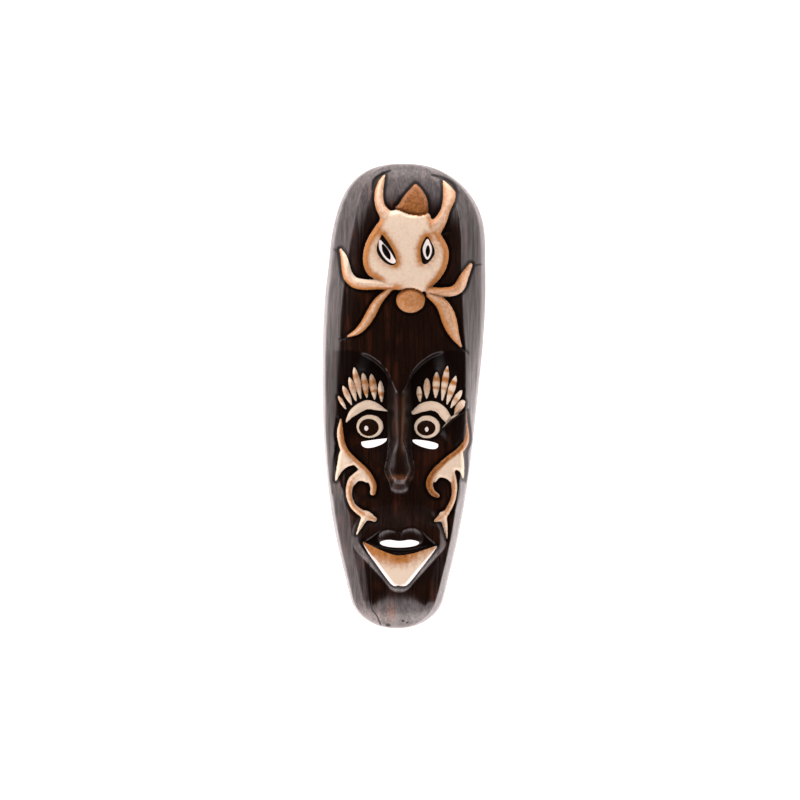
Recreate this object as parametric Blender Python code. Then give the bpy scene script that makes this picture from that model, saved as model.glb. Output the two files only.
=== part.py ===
"""Wooden wall mask, carved from one half log and hollowed from behind.

It lies on the flat rim of its back: +Z points out of the face, +Y towards the crown and +X to the
right of someone who looks at the face. The origin is on the back plane, in the middle of the outline.

The carving is laid out on a drawing grid whose x = 0 is the nose and whose y = 0 is mid-length. The
grid is 465 squares long and 164 wide, so it grows with the mask's length and width. Depths are metres.
"""

import math

import bmesh
import bpy
import numpy as np
from mathutils import Vector
from mathutils.geometry import delaunay_2d_cdt

# Overall sizes, in metres
LENGTH = 0.500
WIDTH = 0.1763
LOG_DEPTH = 0.060
RIM_WIDTH = 0.013
HOLLOW_DEPTH = 0.036
HOLLOW_EDGE = 0.030
WALL = 0.0105

# Depths and rises of the carving, in metres
SOCKET_DEPTH = 0.0095
NOSE_RISE = 0.014
MUZZLE_RISE = 0.004
LIP_BLOCK_RISE = 0.0058
LIP_RISE = 0.003
FACET_RISE = 0.004
HEAD_RISE = 0.0045
LIMB_RISE = 0.0038
SCROLL_RISE = 0.0032
LASH_RISE = 0.0024
BROW_RISE = 0.0028
EYE_RING_RISE = 0.0012
EYE_DOME_RISE = 0.0016
BULL_EYE_DEPTH = 0.0014
GROOVE_DEPTH = 0.0007

# Openings cut right through the wall, in metres
EYE_SLIT_WIDTH = 0.0275
EYE_SLIT_HEIGHT = 0.0086
MOUTH_WIDTH = 0.042
MOUTH_HEIGHT = 0.0088

# The drawing grid
GRID_LENGTH = 465.0
GRID_WIDTH = 164.0
GRID_X = WIDTH / GRID_WIDTH
GRID_Y = LENGTH / GRID_LENGTH
CROWN = GRID_LENGTH / 2
CHIN = -GRID_LENGTH / 2

# Outline: half width and middle of the log at heights on the grid, with its two rounded ends
HALF_WIDTHS = [(-232, 39), (-182, 51.5), (-134, 62.5), (-98, 68.5), (-50, 74), (-2, 77.5),
               (46, 80), (94, 80.5), (142, 78), (233, 76)]
MIDDLES = [(-232, -3), (-98, -2.5), (-2, 0), (46, 2.5), (94, 5), (142, 7.5), (185, 8.5), (233, 3)]
CROWN_ROUND = (91.0, 2.4)
CHIN_ROUND = (30.0, 2.2)

# Profile: share of the log's depth along its length, and how the two ends turn down to the back
DEPTH_SHARES = [(-232, 0.86), (-190, 0.90), (-140, 0.94), (-80, 0.95), (0, 1.0), (60, 1.05),
                (130, 1.02), (185, 0.96), (233, 0.90)]
CROWN_TURN = (72.0, 2.0)
CHIN_TURN = (46.0, 1.95)
CHIN_SIDES = (18.0, 6.0, 24.0)

# Section: a rounded square drawn part of the way to a polygon with the flats that a drawknife left,
# and where its side plane starts on the left and on the right at heights on the grid
SECTION_POWER = 3.0
SECTION_FACETS = [(0, 1), (0.60, 0.985), (0.76, 0.91), (0.955, 0.37), (1, 0)]
FACET_SHARE = 0.7
SIDE_SHARE = 0.76
SIDE_STARTS = [[(-232, 0.72), (-160, 0.75), (-104, 0.75), (-80, 0.86), (-34, 0.84), (10, 0.80), (96, 0.78),
                (160, 0.74), (232, 0.74)],
               [(-232, 0.80), (-190, 0.86), (-104, 0.88), (-34, 0.87), (20, 0.82), (96, 0.71), (160, 0.68),
                (232, 0.72)]]
SIDE_FOOT = [[(-232, 0.14), (-140, 0.20), (-44, 0.26), (20, 0.20), (70, 0.05), (110, 0.0), (232, 0.0)],
             [(-232, 0.10), (-180, 0.0), (232, 0.0)]]

# Brow: height of the brow's lower edge by distance from the nose
BROW_EDGE = [(0, 4), (6, 9), (9, 16), (12, 23), (18, 31), (25, 37), (31, 41), (38, 44), (44, 45.5), (60, 46),
             (95, 43)]
BROW_DROP = 5.0
SOCKET_FADE = (-20.0, 55.0)
SOCKET_SIDE = (27.0, 18.0, 18.0, 42.0)

# Nose: half width and share of its rise down the ridge, root to lip
NOSE_HALF_WIDTHS = [(-98, 8.2), (-94, 8.8), (-85, 10.4), (-80, 13), (-74, 15), (-66, 13.6), (-58, 12),
                    (-50, 11.6), (-40, 12.5), (-20, 13.5), (16, 12), (34, 8)]
NOSE_SHARES = [(-98, 0.0), (-95, 0.12), (-86.5, 0.84), (-84, 0.97), (-76, 0.95), (-60, 0.78), (-30, 0.42),
               (0, 0.12), (24, 0.0), (34, 0.0)]
NOSE_POWER = 2.6
NOSE_CHANGE = (-42.0, 16.0)

# Muzzle: the low mound under the mouth and lips
MUZZLE_CENTRE = (0.0, -150.0)
MUZZLE_RADII = (52.0, 48.0)

# Cheek facet: a flat cut whose bowed crease runs between two points
FACET_LINE = ((40.0, -35.0), (64.5, -15.5))
CREASE_BOW = 2.4
FACET_FADE = 26.0

# Eyes: centre and outer radii of the ring, share of the iris, and the slit under it
LEFT_EYE = ((-30.1, -30.3), (13.3, 11.4))
RIGHT_EYE = ((27.1, -30.9), (12.8, 11.2))
IRIS_SHARE = 0.74
LEFT_SLIT = ((-25.9, -44.2), 0.14, 0.06)
RIGHT_SLIT = ((25.4, -46.6), -0.19, 0.28)
SLIT_LEAN = 0.22
MOUTH_CENTRE = (-0.5, -146.6)

# The animal head. Ribbons are the points of a middle line on the grid and the width at each of them
HEAD = [(-16, 180), (-10, 184), (0, 186), (10, 182), (27, 183), (31, 177), (36, 168), (43, 157.5),
        (47.8, 148), (48.4, 138), (46, 127.5), (40, 117.5), (33, 110.5), (28, 107), (20, 104), (10, 107),
        (-2, 106), (-12, 110), (-24, 116.5), (-31, 120.5), (-35.5, 128), (-37, 138), (-35, 150),
        (-30.5, 160), (-24, 170)]
SNOUT = ((10.6, 95.6), (14.3, 12.4))
CREST = [(15.4, 211.6), (19, 209), (23.5, 203.5), (27, 196), (28, 189), (27.3, 182.3), (19.7, 179.7),
         (7.6, 182.2), (-4.5, 187.2), (-1, 191.5), (4, 199.5), (10, 206.5)]
HORNS = [([(-16, 220.5), (-19.5, 211), (-21.2, 200), (-19.5, 189), (-14, 180)], [2, 6.5, 8.5, 9.5, 12]),
         ([(44, 214.5), (48.5, 207), (49, 198), (45.5, 186), (40.5, 175), (34, 167)],
          [2.5, 11, 12, 9, 12, 16])]
LIMBS = [([(-59.3, 146), (-56, 138), (-54, 128), (-51.5, 119.5), (-45.5, 113.5), (-36, 111.3),
           (-22, 111), (-8, 110)], [2.5, 6.5, 8.5, 10, 10.5, 10.5, 9, 7]),
         ([(29, 105), (42, 104), (53, 104.7), (59.5, 109.5), (64.5, 120), (70.5, 131)],
          [7, 8.5, 9.5, 10.5, 8, 3.5]),
         ([(-10, 106.5), (-21.5, 95), (-28, 84), (-34.5, 73), (-42.5, 64.5), (-53.5, 59)],
          [4, 8, 9.5, 8.5, 6, 1]),
         ([(29, 100.5), (40, 93.5), (46, 84.5), (50, 73), (54.5, 61), (61.7, 48)],
          [5, 11, 14, 14, 9, 1])]
BULL_EYES = [[(-18, 161.3), (-14, 156.5), (-9, 149), (-5, 141), (-3.5, 133.5), (-7, 130.4), (-13, 132),
              (-19, 137), (-23.2, 144.5), (-22.5, 152)],
             [(27, 159.5), (31, 154), (34, 148), (34.6, 142), (31, 136), (26.5, 131.8), (22.7, 132.2),
              (21, 138), (20.3, 146), (22.5, 153)]]

# Brow bands, lashes (tip, root and width), scrolls and leaves of the face
BROWS = [([(-53.5, -25.5), (-50, -20), (-45, -15), (-38, -10.5), (-31.5, -8.6), (-24, -10.5), (-13, -15)],
          [1.5, 5, 8, 8.8, 8.8, 7, 0.8]),
         ([(13.5, -16.5), (22.5, -11.5), (32, -9.8), (40, -13), (45.5, -20), (49.5, -26)],
          [4, 8.5, 9, 9, 9, 5])]
LASHES = [((-61.6, 0), (-54, -13), 3.8), ((-57, 10), (-48.4, -8.6), 5.4), ((-50.7, 18.7), (-44, -5), 5.6),
          ((-46, 28.7), (-39.2, -2.3), 6), ((-37, 23.3), (-33, -1.7), 6.2),
          ((-28.6, 21.8), (-25.2, -3), 7), ((-19.7, 15.2), (-18.3, -5.7), 5.6),
          ((18.7, 9.8), (20, -5.7), 5), ((27, 17.8), (26.7, -2.3), 6.3), ((36.7, 24), (35.6, -1.4), 6.8),
          ((47.4, 30), (42.2, -4), 6.4), ((55.7, 20), (47, -8), 6.6), ((61.7, 5.7), (50.8, -11.5), 5.6),
          ((63.7, -4.5), (55, -18), 7.4)]
LASH_WIDTHS = (0.3, 1.0, 0.85, 0.25)
SCROLLS = [([(-59, -23.5), (-59.7, -35), (-58.5, -46), (-54.5, -55.5), (-47.5, -63), (-40.5, -69.5),
             (-33.5, -76.5), (-28.5, -84.5), (-26.4, -91), (-27.2, -96.8)],
            [1.5, 5.6, 6.4, 6.4, 6, 6, 6.2, 6.4, 6.2, 5]),
           ([(-38, -76.5), (-46, -82.5), (-50.2, -90), (-50.7, -100), (-47, -109.5), (-40.5, -115.5),
             (-33.5, -119.5), (-25.5, -123.2)], [4, 7, 6.5, 5.5, 5.6, 6.2, 7, 4.6]),
           ([(-33.5, -119), (-38, -127), (-43.2, -138)], [7, 4.6, 0.8]),
           ([(66.3, -15), (66.7, -26), (67.4, -36), (66.5, -43.5), (63.5, -50), (57, -56.5), (49, -62.5),
             (41, -69.5), (34, -77), (29.8, -84.5), (30, -91.5), (33, -96.8), (37.4, -99.6)],
            [0.7, 1.3, 3.6, 5, 6, 6, 6, 6.2, 6.4, 6.6, 6.4, 5.4, 4]),
           ([(52, -75), (53.8, -86), (54.3, -95.6), (52.3, -105), (47, -115.5), (41, -121.5), (35, -124.5)],
            [3.5, 5.6, 5, 4.6, 5.2, 6, 2]),
           ([(42.5, -119), (45, -129), (47, -142)], [6.5, 4.6, 0.8])]
LEAVES = [[(-59.4, -55), (-62.3, -66), (-64.5, -84.6), (-58.9, -76.4), (-53.8, -71.3), (-46.5, -67.6),
           (-52, -60)],
          [(-39.3, -73.4), (-32.5, -78), (-32.6, -86), (-37.5, -84.6), (-42, -85), (-46, -88), (-51, -85),
           (-47.5, -79.5)],
          [(62, -56), (64, -69), (63.3, -82.6), (59.7, -75.5), (54.5, -74.5), (53.5, -84), (50.5, -85.6),
           (46, -82.3), (40, -81.3), (34.5, -86), (36, -77), (45, -67), (55, -58.5)]]

# Mouth
LIP_BLOCK = [(-46.5, -150), (-47.5, -140), (-45.5, -128), (-30, -110), (0, -104), (30, -108), (43.5, -128),
             (45.5, -140), (45, -151), (34, -164), (16, -184), (8, -193), (0, -195.5), (-9, -193), (-19, -181),
             (-34, -165)]
LIP_BLOCK_FADE = (-142.0, 40.0)
LIP_BEVEL = 6.0
MOUTH_SINK = [(-36.5, -146.2), (-28, -140), (-20.7, -134.6), (-12, -131.8), (-4, -133.3), (-1, -136), (3, -132),
              (12, -130), (20, -132.8), (28, -141), (37, -149.7), (26.5, -153), (14, -157), (4, -158.9),
              (-5.4, -158.7), (-18, -154.5), (-31, -148.5)]
UPPER_LIPS = [[(-22, -142), (-19.5, -135.5), (-13, -131.6), (-6, -131.8), (-1.6, -135.6), (-1, -143),
               (-2, -149.5), (-10, -150.5), (-19, -148.5)],
              [(-0.8, -143), (-0.3, -135.4), (4, -131), (11, -129.4), (18, -131.6), (23, -138.5),
               (22, -147), (12, -150.5), (1, -149.5)]]
LOBE_EDGE = 6.5

# How finely the surfaces are cut into facets, on the grid
RIBBON_STEP = 4.0
LOOP_STEP = 4.5
OUTLINE_POINTS = 120
FILL_STEP = 7.5
HOLLOW_FILL_STEP = 18.0
CLEAR_OF_LINES = 3.6
CLEAR_ON_FACE = 1.3
CLEAR_INSIDE = 6.0
SLIT_POINTS = 18
EDGE_SHARES = (0.985, 0.945, 0.87, 0.76)
NOSE_LEVELS = (-98, -95, -86.5, -84, -79, -74, -66, -54, -40, -20, -4, 10)
HOLLOW_STEPS = (0.12, 0.45, 1.0)


def curve_value(stations, at):
    """Value at a place of the smooth curve through (place, value) stations.

    Between two stations it is a cubic whose end slopes are those of the lines through the neighbours.
    """
    places, values = np.array(stations, float).T
    slopes = np.gradient(values, places)
    at = np.clip(at, places[0], places[-1])
    i = np.clip(np.searchsorted(places, at) - 1, 0, len(places) - 2)
    span = places[i + 1] - places[i]
    t = (at - places[i]) / span
    rise = values[i + 1] - values[i]
    a = slopes[i] * span - rise
    b = rise - slopes[i + 1] * span
    return values[i] + t * rise + t * (1 - t) * ((1 - t) * a + t * b)


def ease(t):
    """0 below 0, 1 above 1 and a smooth step between."""
    t = np.clip(t, 0, 1)
    return t * t * (3 - 2 * t)


def round_end(t, power):
    """Quarter of a rounded square: 0 at t = 0, rising steeply and flat at 1 from t = 1 on."""
    return (1 - (1 - np.clip(t, 0, 1)) ** power) ** (1 / power)


def half_width(y):
    """Half width of the outline at height y on the grid."""
    crown = round_end((CROWN - y) / CROWN_ROUND[0], CROWN_ROUND[1])
    chin = round_end((y - CHIN) / CHIN_ROUND[0], CHIN_ROUND[1])
    return curve_value(HALF_WIDTHS, y) * crown * chin


def outline():
    """Points of the outline on the grid, evenly spaced, counter-clockwise from the crown."""
    turn = np.linspace(0, math.pi, 400)
    y = CHIN + GRID_LENGTH * (1 + np.cos(turn)) / 2
    left = np.stack([curve_value(MIDDLES, y) - half_width(y), y], 1)
    right = np.stack([curve_value(MIDDLES, y) + half_width(y), y], 1)
    return evenly(np.concatenate([left, right[-2:0:-1]]), OUTLINE_POINTS)


def evenly(loop, count):
    """The closed loop drawn again with so many points at equal distances along it."""
    closed = np.concatenate([loop, loop[:1]])
    run = np.concatenate([[0], np.cumsum(np.hypot(*np.diff(closed, axis=0).T))])
    at = np.linspace(0, run[-1], count, endpoint=False)
    return np.stack([np.interp(at, run, closed[:, 0]), np.interp(at, run, closed[:, 1])], 1)


def spline(points, step, closed=False):
    """Smooth curve through the points, cut into pieces about one step long."""
    points = np.array(points, float)
    if closed:
        ring = np.concatenate([points[-1:], points, points[:2]])
    else:
        ring = np.concatenate([2 * points[:1] - points[1:2], points, 2 * points[-1:] - points[-2:-1]])
    out = []
    for p0, p1, p2, p3 in zip(ring, ring[1:], ring[2:], ring[3:]):
        pieces = max(1, round(np.linalg.norm((p2 - p1)[:2]) / step))
        t = np.arange(pieces)[:, None] / pieces
        out.append(0.5 * (2 * p1 + t * (p2 - p0) + t ** 2 * (2 * p0 - 5 * p1 + 4 * p2 - p3)
                          + t ** 3 * (3 * p1 - 3 * p2 + p3 - p0)))
    if not closed:
        out.append(points[-1:])
    return np.concatenate(out)


def ribbon(centre, widths):
    """Closed outline and middle line of a band of changing width along a smooth centre line."""
    line = spline(np.column_stack([centre, widths]), RIBBON_STEP)
    along = np.gradient(line[:, :2], axis=0)
    along /= np.linalg.norm(along, axis=1)[:, None]
    across = np.stack([-along[:, 1], along[:, 0]], 1)
    half = line[:, 2:] / 2
    start = line[:1, :2] - along[:1] * half[:1]
    end = line[-1:, :2] + along[-1:] * half[-1:]
    loop = [start, line[:, :2] + across * half, end, (line[:, :2] - across * half)[::-1]]
    return np.concatenate(loop), line[:, :2]


def ellipse(centre, radii, share=1.0, points=16):
    """Closed loop of an ellipse, or of a smaller one inside it."""
    turn = np.linspace(0, 2 * math.pi, points, endpoint=False)
    spread = np.stack([radii[0] * np.cos(turn), radii[1] * np.sin(turn)], 1)
    return np.array(centre) + share * spread


def eye_slit(centre, slope, above):
    """Loop of the crescent under an eye: a low bow above and a full bow below, fuller away from the nose.

    Its tips lie on a slope, and above is the upper bow's share of the height.
    """
    turn = np.linspace(0, 2 * math.pi, SLIT_POINTS, endpoint=False)
    x = np.cos(turn) * EYE_SLIT_WIDTH / 2 / GRID_X
    bow = np.where(np.sin(turn) > 0, above, above - 1) * EYE_SLIT_HEIGHT / GRID_Y
    lean = 1 + SLIT_LEAN * math.copysign(1, centre[0]) * np.cos(turn)
    y = np.abs(np.sin(turn)) ** 0.8 * lean * bow + slope * x
    return np.array(centre) + np.stack([x, y], 1)


def mouth_gap():
    """Loop of the gap between the lips: two low bows above and one full bow below."""
    turn = np.linspace(0, 2 * math.pi, SLIT_POINTS + 6, endpoint=False)
    x = np.cos(turn) * MOUTH_WIDTH / 2 / GRID_X
    bow = np.abs(np.sin(turn))
    above = (0.36 * bow ** 0.5 - 0.10 * bow ** 8) * MOUTH_HEIGHT / GRID_Y
    below = -0.64 * bow * MOUTH_HEIGHT / GRID_Y
    return np.array(MOUTH_CENTRE) + np.stack([x, np.where(np.sin(turn) > 0, above, below)], 1)


def signed_distance(x, y, loop):
    """Distance on the grid from each point to a closed loop, negative inside it."""
    near = np.full(np.shape(x), np.inf)
    inside = np.zeros(np.shape(x), bool)
    for (ax, ay), (bx, by) in zip(loop, np.roll(loop, -1, 0)):
        dx, dy = bx - ax, by - ay
        t = np.clip(((x - ax) * dx + (y - ay) * dy) / (dx * dx + dy * dy + 1e-12), 0, 1)
        near = np.minimum(near, np.hypot(x - ax - t * dx, y - ay - t * dy))
        if dy:
            inside ^= ((ay > y) != (by > y)) & (x < ax + dx * (y - ay) / dy)
    return np.where(inside, -near, near)


def reliefs():
    """Every raised motif as (loop, inner line, rise, width of its rounded edge on the grid)."""
    found = []

    def add_ribbon(centre, widths, rise):
        loop, line = ribbon(centre, widths)
        found.append((loop, line, rise, max(widths) / 2))

    for points, rise, edge in ((HEAD, HEAD_RISE, 4.5), (CREST, LIMB_RISE, 4.0)):
        loop = spline(points, LOOP_STEP, closed=True)
        found.append((loop, inset(loop, edge), rise, edge))
    found.append((ellipse(*SNOUT), ellipse(*SNOUT, share=0.45, points=8), HEAD_RISE, 8.0))
    for centre, widths in HORNS + LIMBS:
        add_ribbon(centre, widths, LIMB_RISE)
    for centre, widths in SCROLLS:
        add_ribbon(centre, widths, SCROLL_RISE)
    for points in LEAVES:
        loop = spline(points, LOOP_STEP, closed=True)
        found.append((loop, inset(loop, 3.2), SCROLL_RISE, 3.2))
    for centre, widths in BROWS:
        add_ribbon(centre, widths, BROW_RISE)
    for tip, base, width in LASHES:
        way = [[tip[k] + (base[k] - tip[k]) * share for k in (0, 1)] for share in (0, 0.3, 0.6, 1)]
        add_ribbon(way, [share * width for share in LASH_WIDTHS], LASH_RISE)
    return found


def inset(loop, distance):
    """The loop moved inwards by a distance, for a loop that has no narrow part."""
    along = np.roll(loop, -1, 0) - np.roll(loop, 1, 0)
    along /= np.linalg.norm(along, axis=1)[:, None]
    across = np.stack([-along[:, 1], along[:, 0]], 1)
    area = np.sum(loop[:, 0] * np.roll(loop[:, 1], -1) - np.roll(loop[:, 0], -1) * loop[:, 1])
    moved = loop + across * distance * math.copysign(1, area)
    keep = signed_distance(moved[:, 0], moved[:, 1], loop) < -0.8 * distance
    return moved[keep]


def section_share(x, y):
    """How far out on the log: 0 on its middle line, 0.76 where its side plane starts, 1 on the outline."""
    off = x - curve_value(MIDDLES, y)
    share = np.minimum(np.abs(off) / np.maximum(half_width(y), 1e-6), 1)
    start = np.where(off < 0, curve_value(SIDE_STARTS[0], y), curve_value(SIDE_STARTS[1], y))
    outside = 1 - (1 - share) * (1 - SIDE_SHARE) / (1 - start)
    return np.where(share < start, share * SIDE_SHARE / start, outside)


def log_height(x, y):
    """Bare log: its section over the outline, its two ends turned down to the back.

    The foot of the side plane stands higher on the left cheek, which is cut steeper below. The chin's
    turn is longer in the middle than at its sides, which leaves a sloping facet under the lips.
    """
    share = section_share(x, y)
    out = np.clip((share - SIDE_SHARE) / (1 - SIDE_SHARE), 0, 1)
    foot = np.where(x < curve_value(MIDDLES, y), curve_value(SIDE_FOOT[0], y), curve_value(SIDE_FOOT[1], y))
    depth = LOG_DEPTH * curve_value(DEPTH_SHARES, y)
    depth = depth * round_end((CROWN - y) / CROWN_TURN[0], CROWN_TURN[1])
    less, start, width = CHIN_SIDES
    chin_run = CHIN_TURN[0] - less * ease((np.abs(x + 2) - start) / width)
    depth = depth * round_end((y - CHIN) / chin_run, CHIN_TURN[1])
    flats = np.interp(share, *np.array(SECTION_FACETS, float).T)
    flats = flats + foot * np.minimum(out / 0.81, (1 - out) / 0.19)
    smooth = (1 - share ** SECTION_POWER) ** (1 / SECTION_POWER)
    return depth * (FACET_SHARE * flats + (1 - FACET_SHARE) * smooth)


def socket(x, y):
    """Depth taken off for the eye panels: a step under the brow that fades out over the cheeks.

    Outwards it fades from start over a width that grows from the brow's top down.
    """
    start, width, more, drop = SOCKET_SIDE
    step = ease((curve_value(BROW_EDGE, np.abs(x)) - y) / BROW_DROP)
    down = 1 - ease((SOCKET_FADE[0] - y) / SOCKET_FADE[1])
    side = 1 - ease((np.abs(x - curve_value(MIDDLES, y)) - start) / (width + more * ease((drop - y) / drop)))
    return SOCKET_DEPTH * step * down * side


def nose(x, y, sunk):
    """Lift of the nose above the sunk panels: a block at the tip, a bridge that melts into the panels."""
    share = np.minimum(np.abs(x + 0.3) / curve_value(NOSE_HALF_WIDTHS, y), 1)
    inside = (y > NOSE_SHARES[0][0]) & (y < NOSE_SHARES[-1][0])
    lift = NOSE_RISE * curve_value(NOSE_SHARES, y) + sunk
    block = ease((NOSE_CHANGE[0] - y) / NOSE_CHANGE[1])
    form = block * (1 - share ** NOSE_POWER) + (1 - block) * ease(1 - share)
    return np.where(inside, lift * form, 0)


def muzzle(x, y):
    """Low mound round the mouth."""
    far = ((x - MUZZLE_CENTRE[0]) / MUZZLE_RADII[0]) ** 2 + ((y - MUZZLE_CENTRE[1]) / MUZZLE_RADII[1]) ** 2
    return MUZZLE_RISE * np.clip(1 - far, 0, 1) ** 2


def crease_place(x, y):
    """Distance below the bowed crease of the right cheek, run along its chord and the chord's length."""
    (ax, ay), (bx, by) = FACET_LINE
    length = math.hypot(bx - ax, by - ay)
    along = ((x - ax) * (bx - ax) + (y - ay) * (by - ay)) / length
    off = ((x - ax) * (by - ay) - (y - ay) * (bx - ax)) / length
    share = np.clip(along / length, 0, 1)
    return off + CREASE_BOW * 4 * share * (1 - share), along, length


def crease_line():
    """Five points along the bowed crease."""
    start, end = np.array(FACET_LINE)
    up = np.array((start[1] - end[1], end[0] - start[0])) / np.linalg.norm(end - start)
    return [start + (end - start) * t + up * CREASE_BOW * 4 * t * (1 - t) for t in (0, 0.25, 0.5, 0.75, 1)]


def facet(x, y):
    """Flat cut below the crease on the right cheek: highest at the crease, fading away from it."""
    off, along, length = crease_place(x, y)
    ends = ease((along + 4) / 9) * ease((length + 7 - along) / 7)
    return FACET_RISE * ends * ease(off / 1.4) * np.clip(1 - off / FACET_FADE, 0, 1)


def eyeball(x, y, eye):
    """Ring and domed iris of one eye, above its panel."""
    (cx, cy), (rx, ry) = eye
    far = np.hypot((x - cx) / rx, (y - cy) / ry)
    ring = EYE_RING_RISE * ease((1.02 - far) / 0.06)
    return ring + EYE_DOME_RISE * np.clip(1 - (far / IRIS_SHARE) ** 2, 0, 1)


def mouth_height(x, y, lip_block, sink, upper_lips):
    """Lip block with a straight bevel, fading upwards, the sunk mouth in it and its two upper lobes."""
    fade = ease((LIP_BLOCK_FADE[0] + LIP_BLOCK_FADE[1] - y) / LIP_BLOCK_FADE[1])
    out = LIP_BLOCK_RISE * fade * np.clip(-signed_distance(x, y, lip_block) / LIP_BEVEL, 0, 1)
    out = out - 0.75 * LIP_RISE * np.clip(-signed_distance(x, y, sink) / 2.0, 0, 1)
    for lip in upper_lips:
        out = out + LIP_RISE * np.sin(np.clip(-signed_distance(x, y, lip) / LOBE_EDGE, 0, 1) * math.pi / 2)
    return out


def face_height(x, y, motifs, lips, bull_eyes):
    """Front surface above the back plane: log, panels, nose, eyes, mouth and raised motifs."""
    sunk = socket(x, y)
    z = log_height(x, y) - sunk + nose(x, y, sunk) + muzzle(x, y) + facet(x, y)
    z = z + eyeball(x, y, LEFT_EYE) + eyeball(x, y, RIGHT_EYE) + mouth_height(x, y, *lips)
    below = crease_place(x, y)[0] + 0.4
    raised = np.full(np.shape(x), -np.inf)
    cut = np.zeros(np.shape(x))
    for loop, _, rise, edge in motifs:
        off = signed_distance(x, y, loop)
        if rise in (BROW_RISE, LASH_RISE):
            off = np.maximum(off, below)
        shape = np.sin(np.clip(-off / edge, 0, 1) * math.pi / 2)
        raised = np.where(off < 0, np.maximum(raised, -GROOVE_DEPTH + (rise + GROOVE_DEPTH) * shape), raised)
        cut = np.minimum(cut, -GROOVE_DEPTH * np.clip(1 - off / 4.5, 0, 1))
    z = z + np.where(np.isfinite(raised), raised, cut)
    for loop in bull_eyes:
        z = z - BULL_EYE_DEPTH * np.clip(-signed_distance(x, y, loop) / 2.5, 0, 1)
    return z


def hollow_height(x, y, inner):
    """Gouged back: a round-edged bowl inside the rim that keeps a full wall under the face."""
    off = -signed_distance(x * GRID_X, y * GRID_Y, inner)
    bowl = HOLLOW_DEPTH * np.sqrt(1 - (1 - np.clip(off / HOLLOW_EDGE, 0, 1)) ** 2)
    return np.minimum(bowl, np.maximum(log_height(x, y) - socket(x, y) - WALL, 0))


def fill_points(loop, holes, lines, step):
    """Evenly spread points inside a loop, clear of the holes and of the points of the lines."""
    low, high = loop.min(0), loop.max(0)
    rows = np.arange(low[1], high[1], step * 0.866)
    columns = np.arange(low[0], high[0], step)
    x, y = np.meshgrid(columns, rows)
    x = x + (np.arange(len(rows)) % 2)[:, None] * step / 2
    x, y = x.ravel(), y.ravel()
    keep = signed_distance(x, y, loop) < -CLEAR_OF_LINES
    for hole in holes:
        keep &= signed_distance(x, y, hole) > CLEAR_OF_LINES
    points = np.concatenate(lines)
    near = np.hypot(x[:, None] - points[None, :, 0], y[:, None] - points[None, :, 1]).min(1)
    return np.stack([x, y], 1)[keep & (near > CLEAR_OF_LINES)]


def triangulate(loop, holes, lines, fill):
    """Flat triangles inside a loop and outside its holes that follow every given line."""
    points, edges = [], []
    for line in [ringed(loop), *(ringed(hole) for hole in holes), *lines]:
        start = len(points)
        points.extend(Vector(p) for p in line)
        edges.extend((start + i, start + i + 1) for i in range(len(line) - 1))
    points.extend(Vector(p) for p in fill)
    found = delaunay_2d_cdt(points, edges, [], 0, 0.02)
    places = np.array([tuple(v) for v in found[0]])
    faces = np.array([f for f in found[2] if len(f) == 3])
    middle = places[faces].mean(1)
    keep = signed_distance(middle[:, 0], middle[:, 1], loop) < 0
    for hole in holes:
        keep &= signed_distance(middle[:, 0], middle[:, 1], hole) > 0
    return places, faces[keep]


def ringed(loop):
    """The closed loop as a line that ends where it starts."""
    return np.concatenate([loop, loop[:1]])


def stretches(line, loop, holes, clear):
    """The parts of a line that stay inside the loop and at a clear distance from the holes' edges."""
    keep = signed_distance(line[:, 0], line[:, 1], loop) < -clear
    for hole in holes:
        keep &= signed_distance(line[:, 0], line[:, 1], hole) > clear
    cuts = np.flatnonzero(np.diff(keep.astype(int))) + 1
    return [part for part, kept in zip(np.split(line, cuts), np.split(keep, cuts)) if kept[0]]


def on_loops(places, loops):
    """Which of the flat points lie on one of the loops."""
    marks = {tuple(np.round(p, 2)) for loop in loops for p in loop}
    return np.array([tuple(np.round(p, 2)) in marks for p in places])


def add_surface(bm, places, heights, faces, upwards):
    """Adds one cut of the solid's skin, with its triangles facing up or down."""
    verts = [bm.verts.new((x * GRID_X, y * GRID_Y, z)) for (x, y), z in zip(places, heights)]
    for a, b, c in faces:
        (ax, ay), (bx, by), (cx, cy) = places[[a, b, c]]
        turn = (bx - ax) * (cy - ay) - (by - ay) * (cx - ax)
        corners = (a, b, c) if (turn > 0) == upwards else (a, c, b)
        bm.faces.new([verts[i] for i in corners])


def add_hole_wall(bm, loop, top, bottom):
    """Walls of one opening, from the face down to the hollow."""
    high = [bm.verts.new((x * GRID_X, y * GRID_Y, z)) for (x, y), z in zip(loop, top)]
    low = [bm.verts.new((x * GRID_X, y * GRID_Y, z)) for (x, y), z in zip(loop, bottom)]
    for i in range(len(loop)):
        j = (i + 1) % len(loop)
        bm.faces.new((high[i], high[j], low[i]))
        bm.faces.new((high[j], low[j], low[i]))


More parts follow.
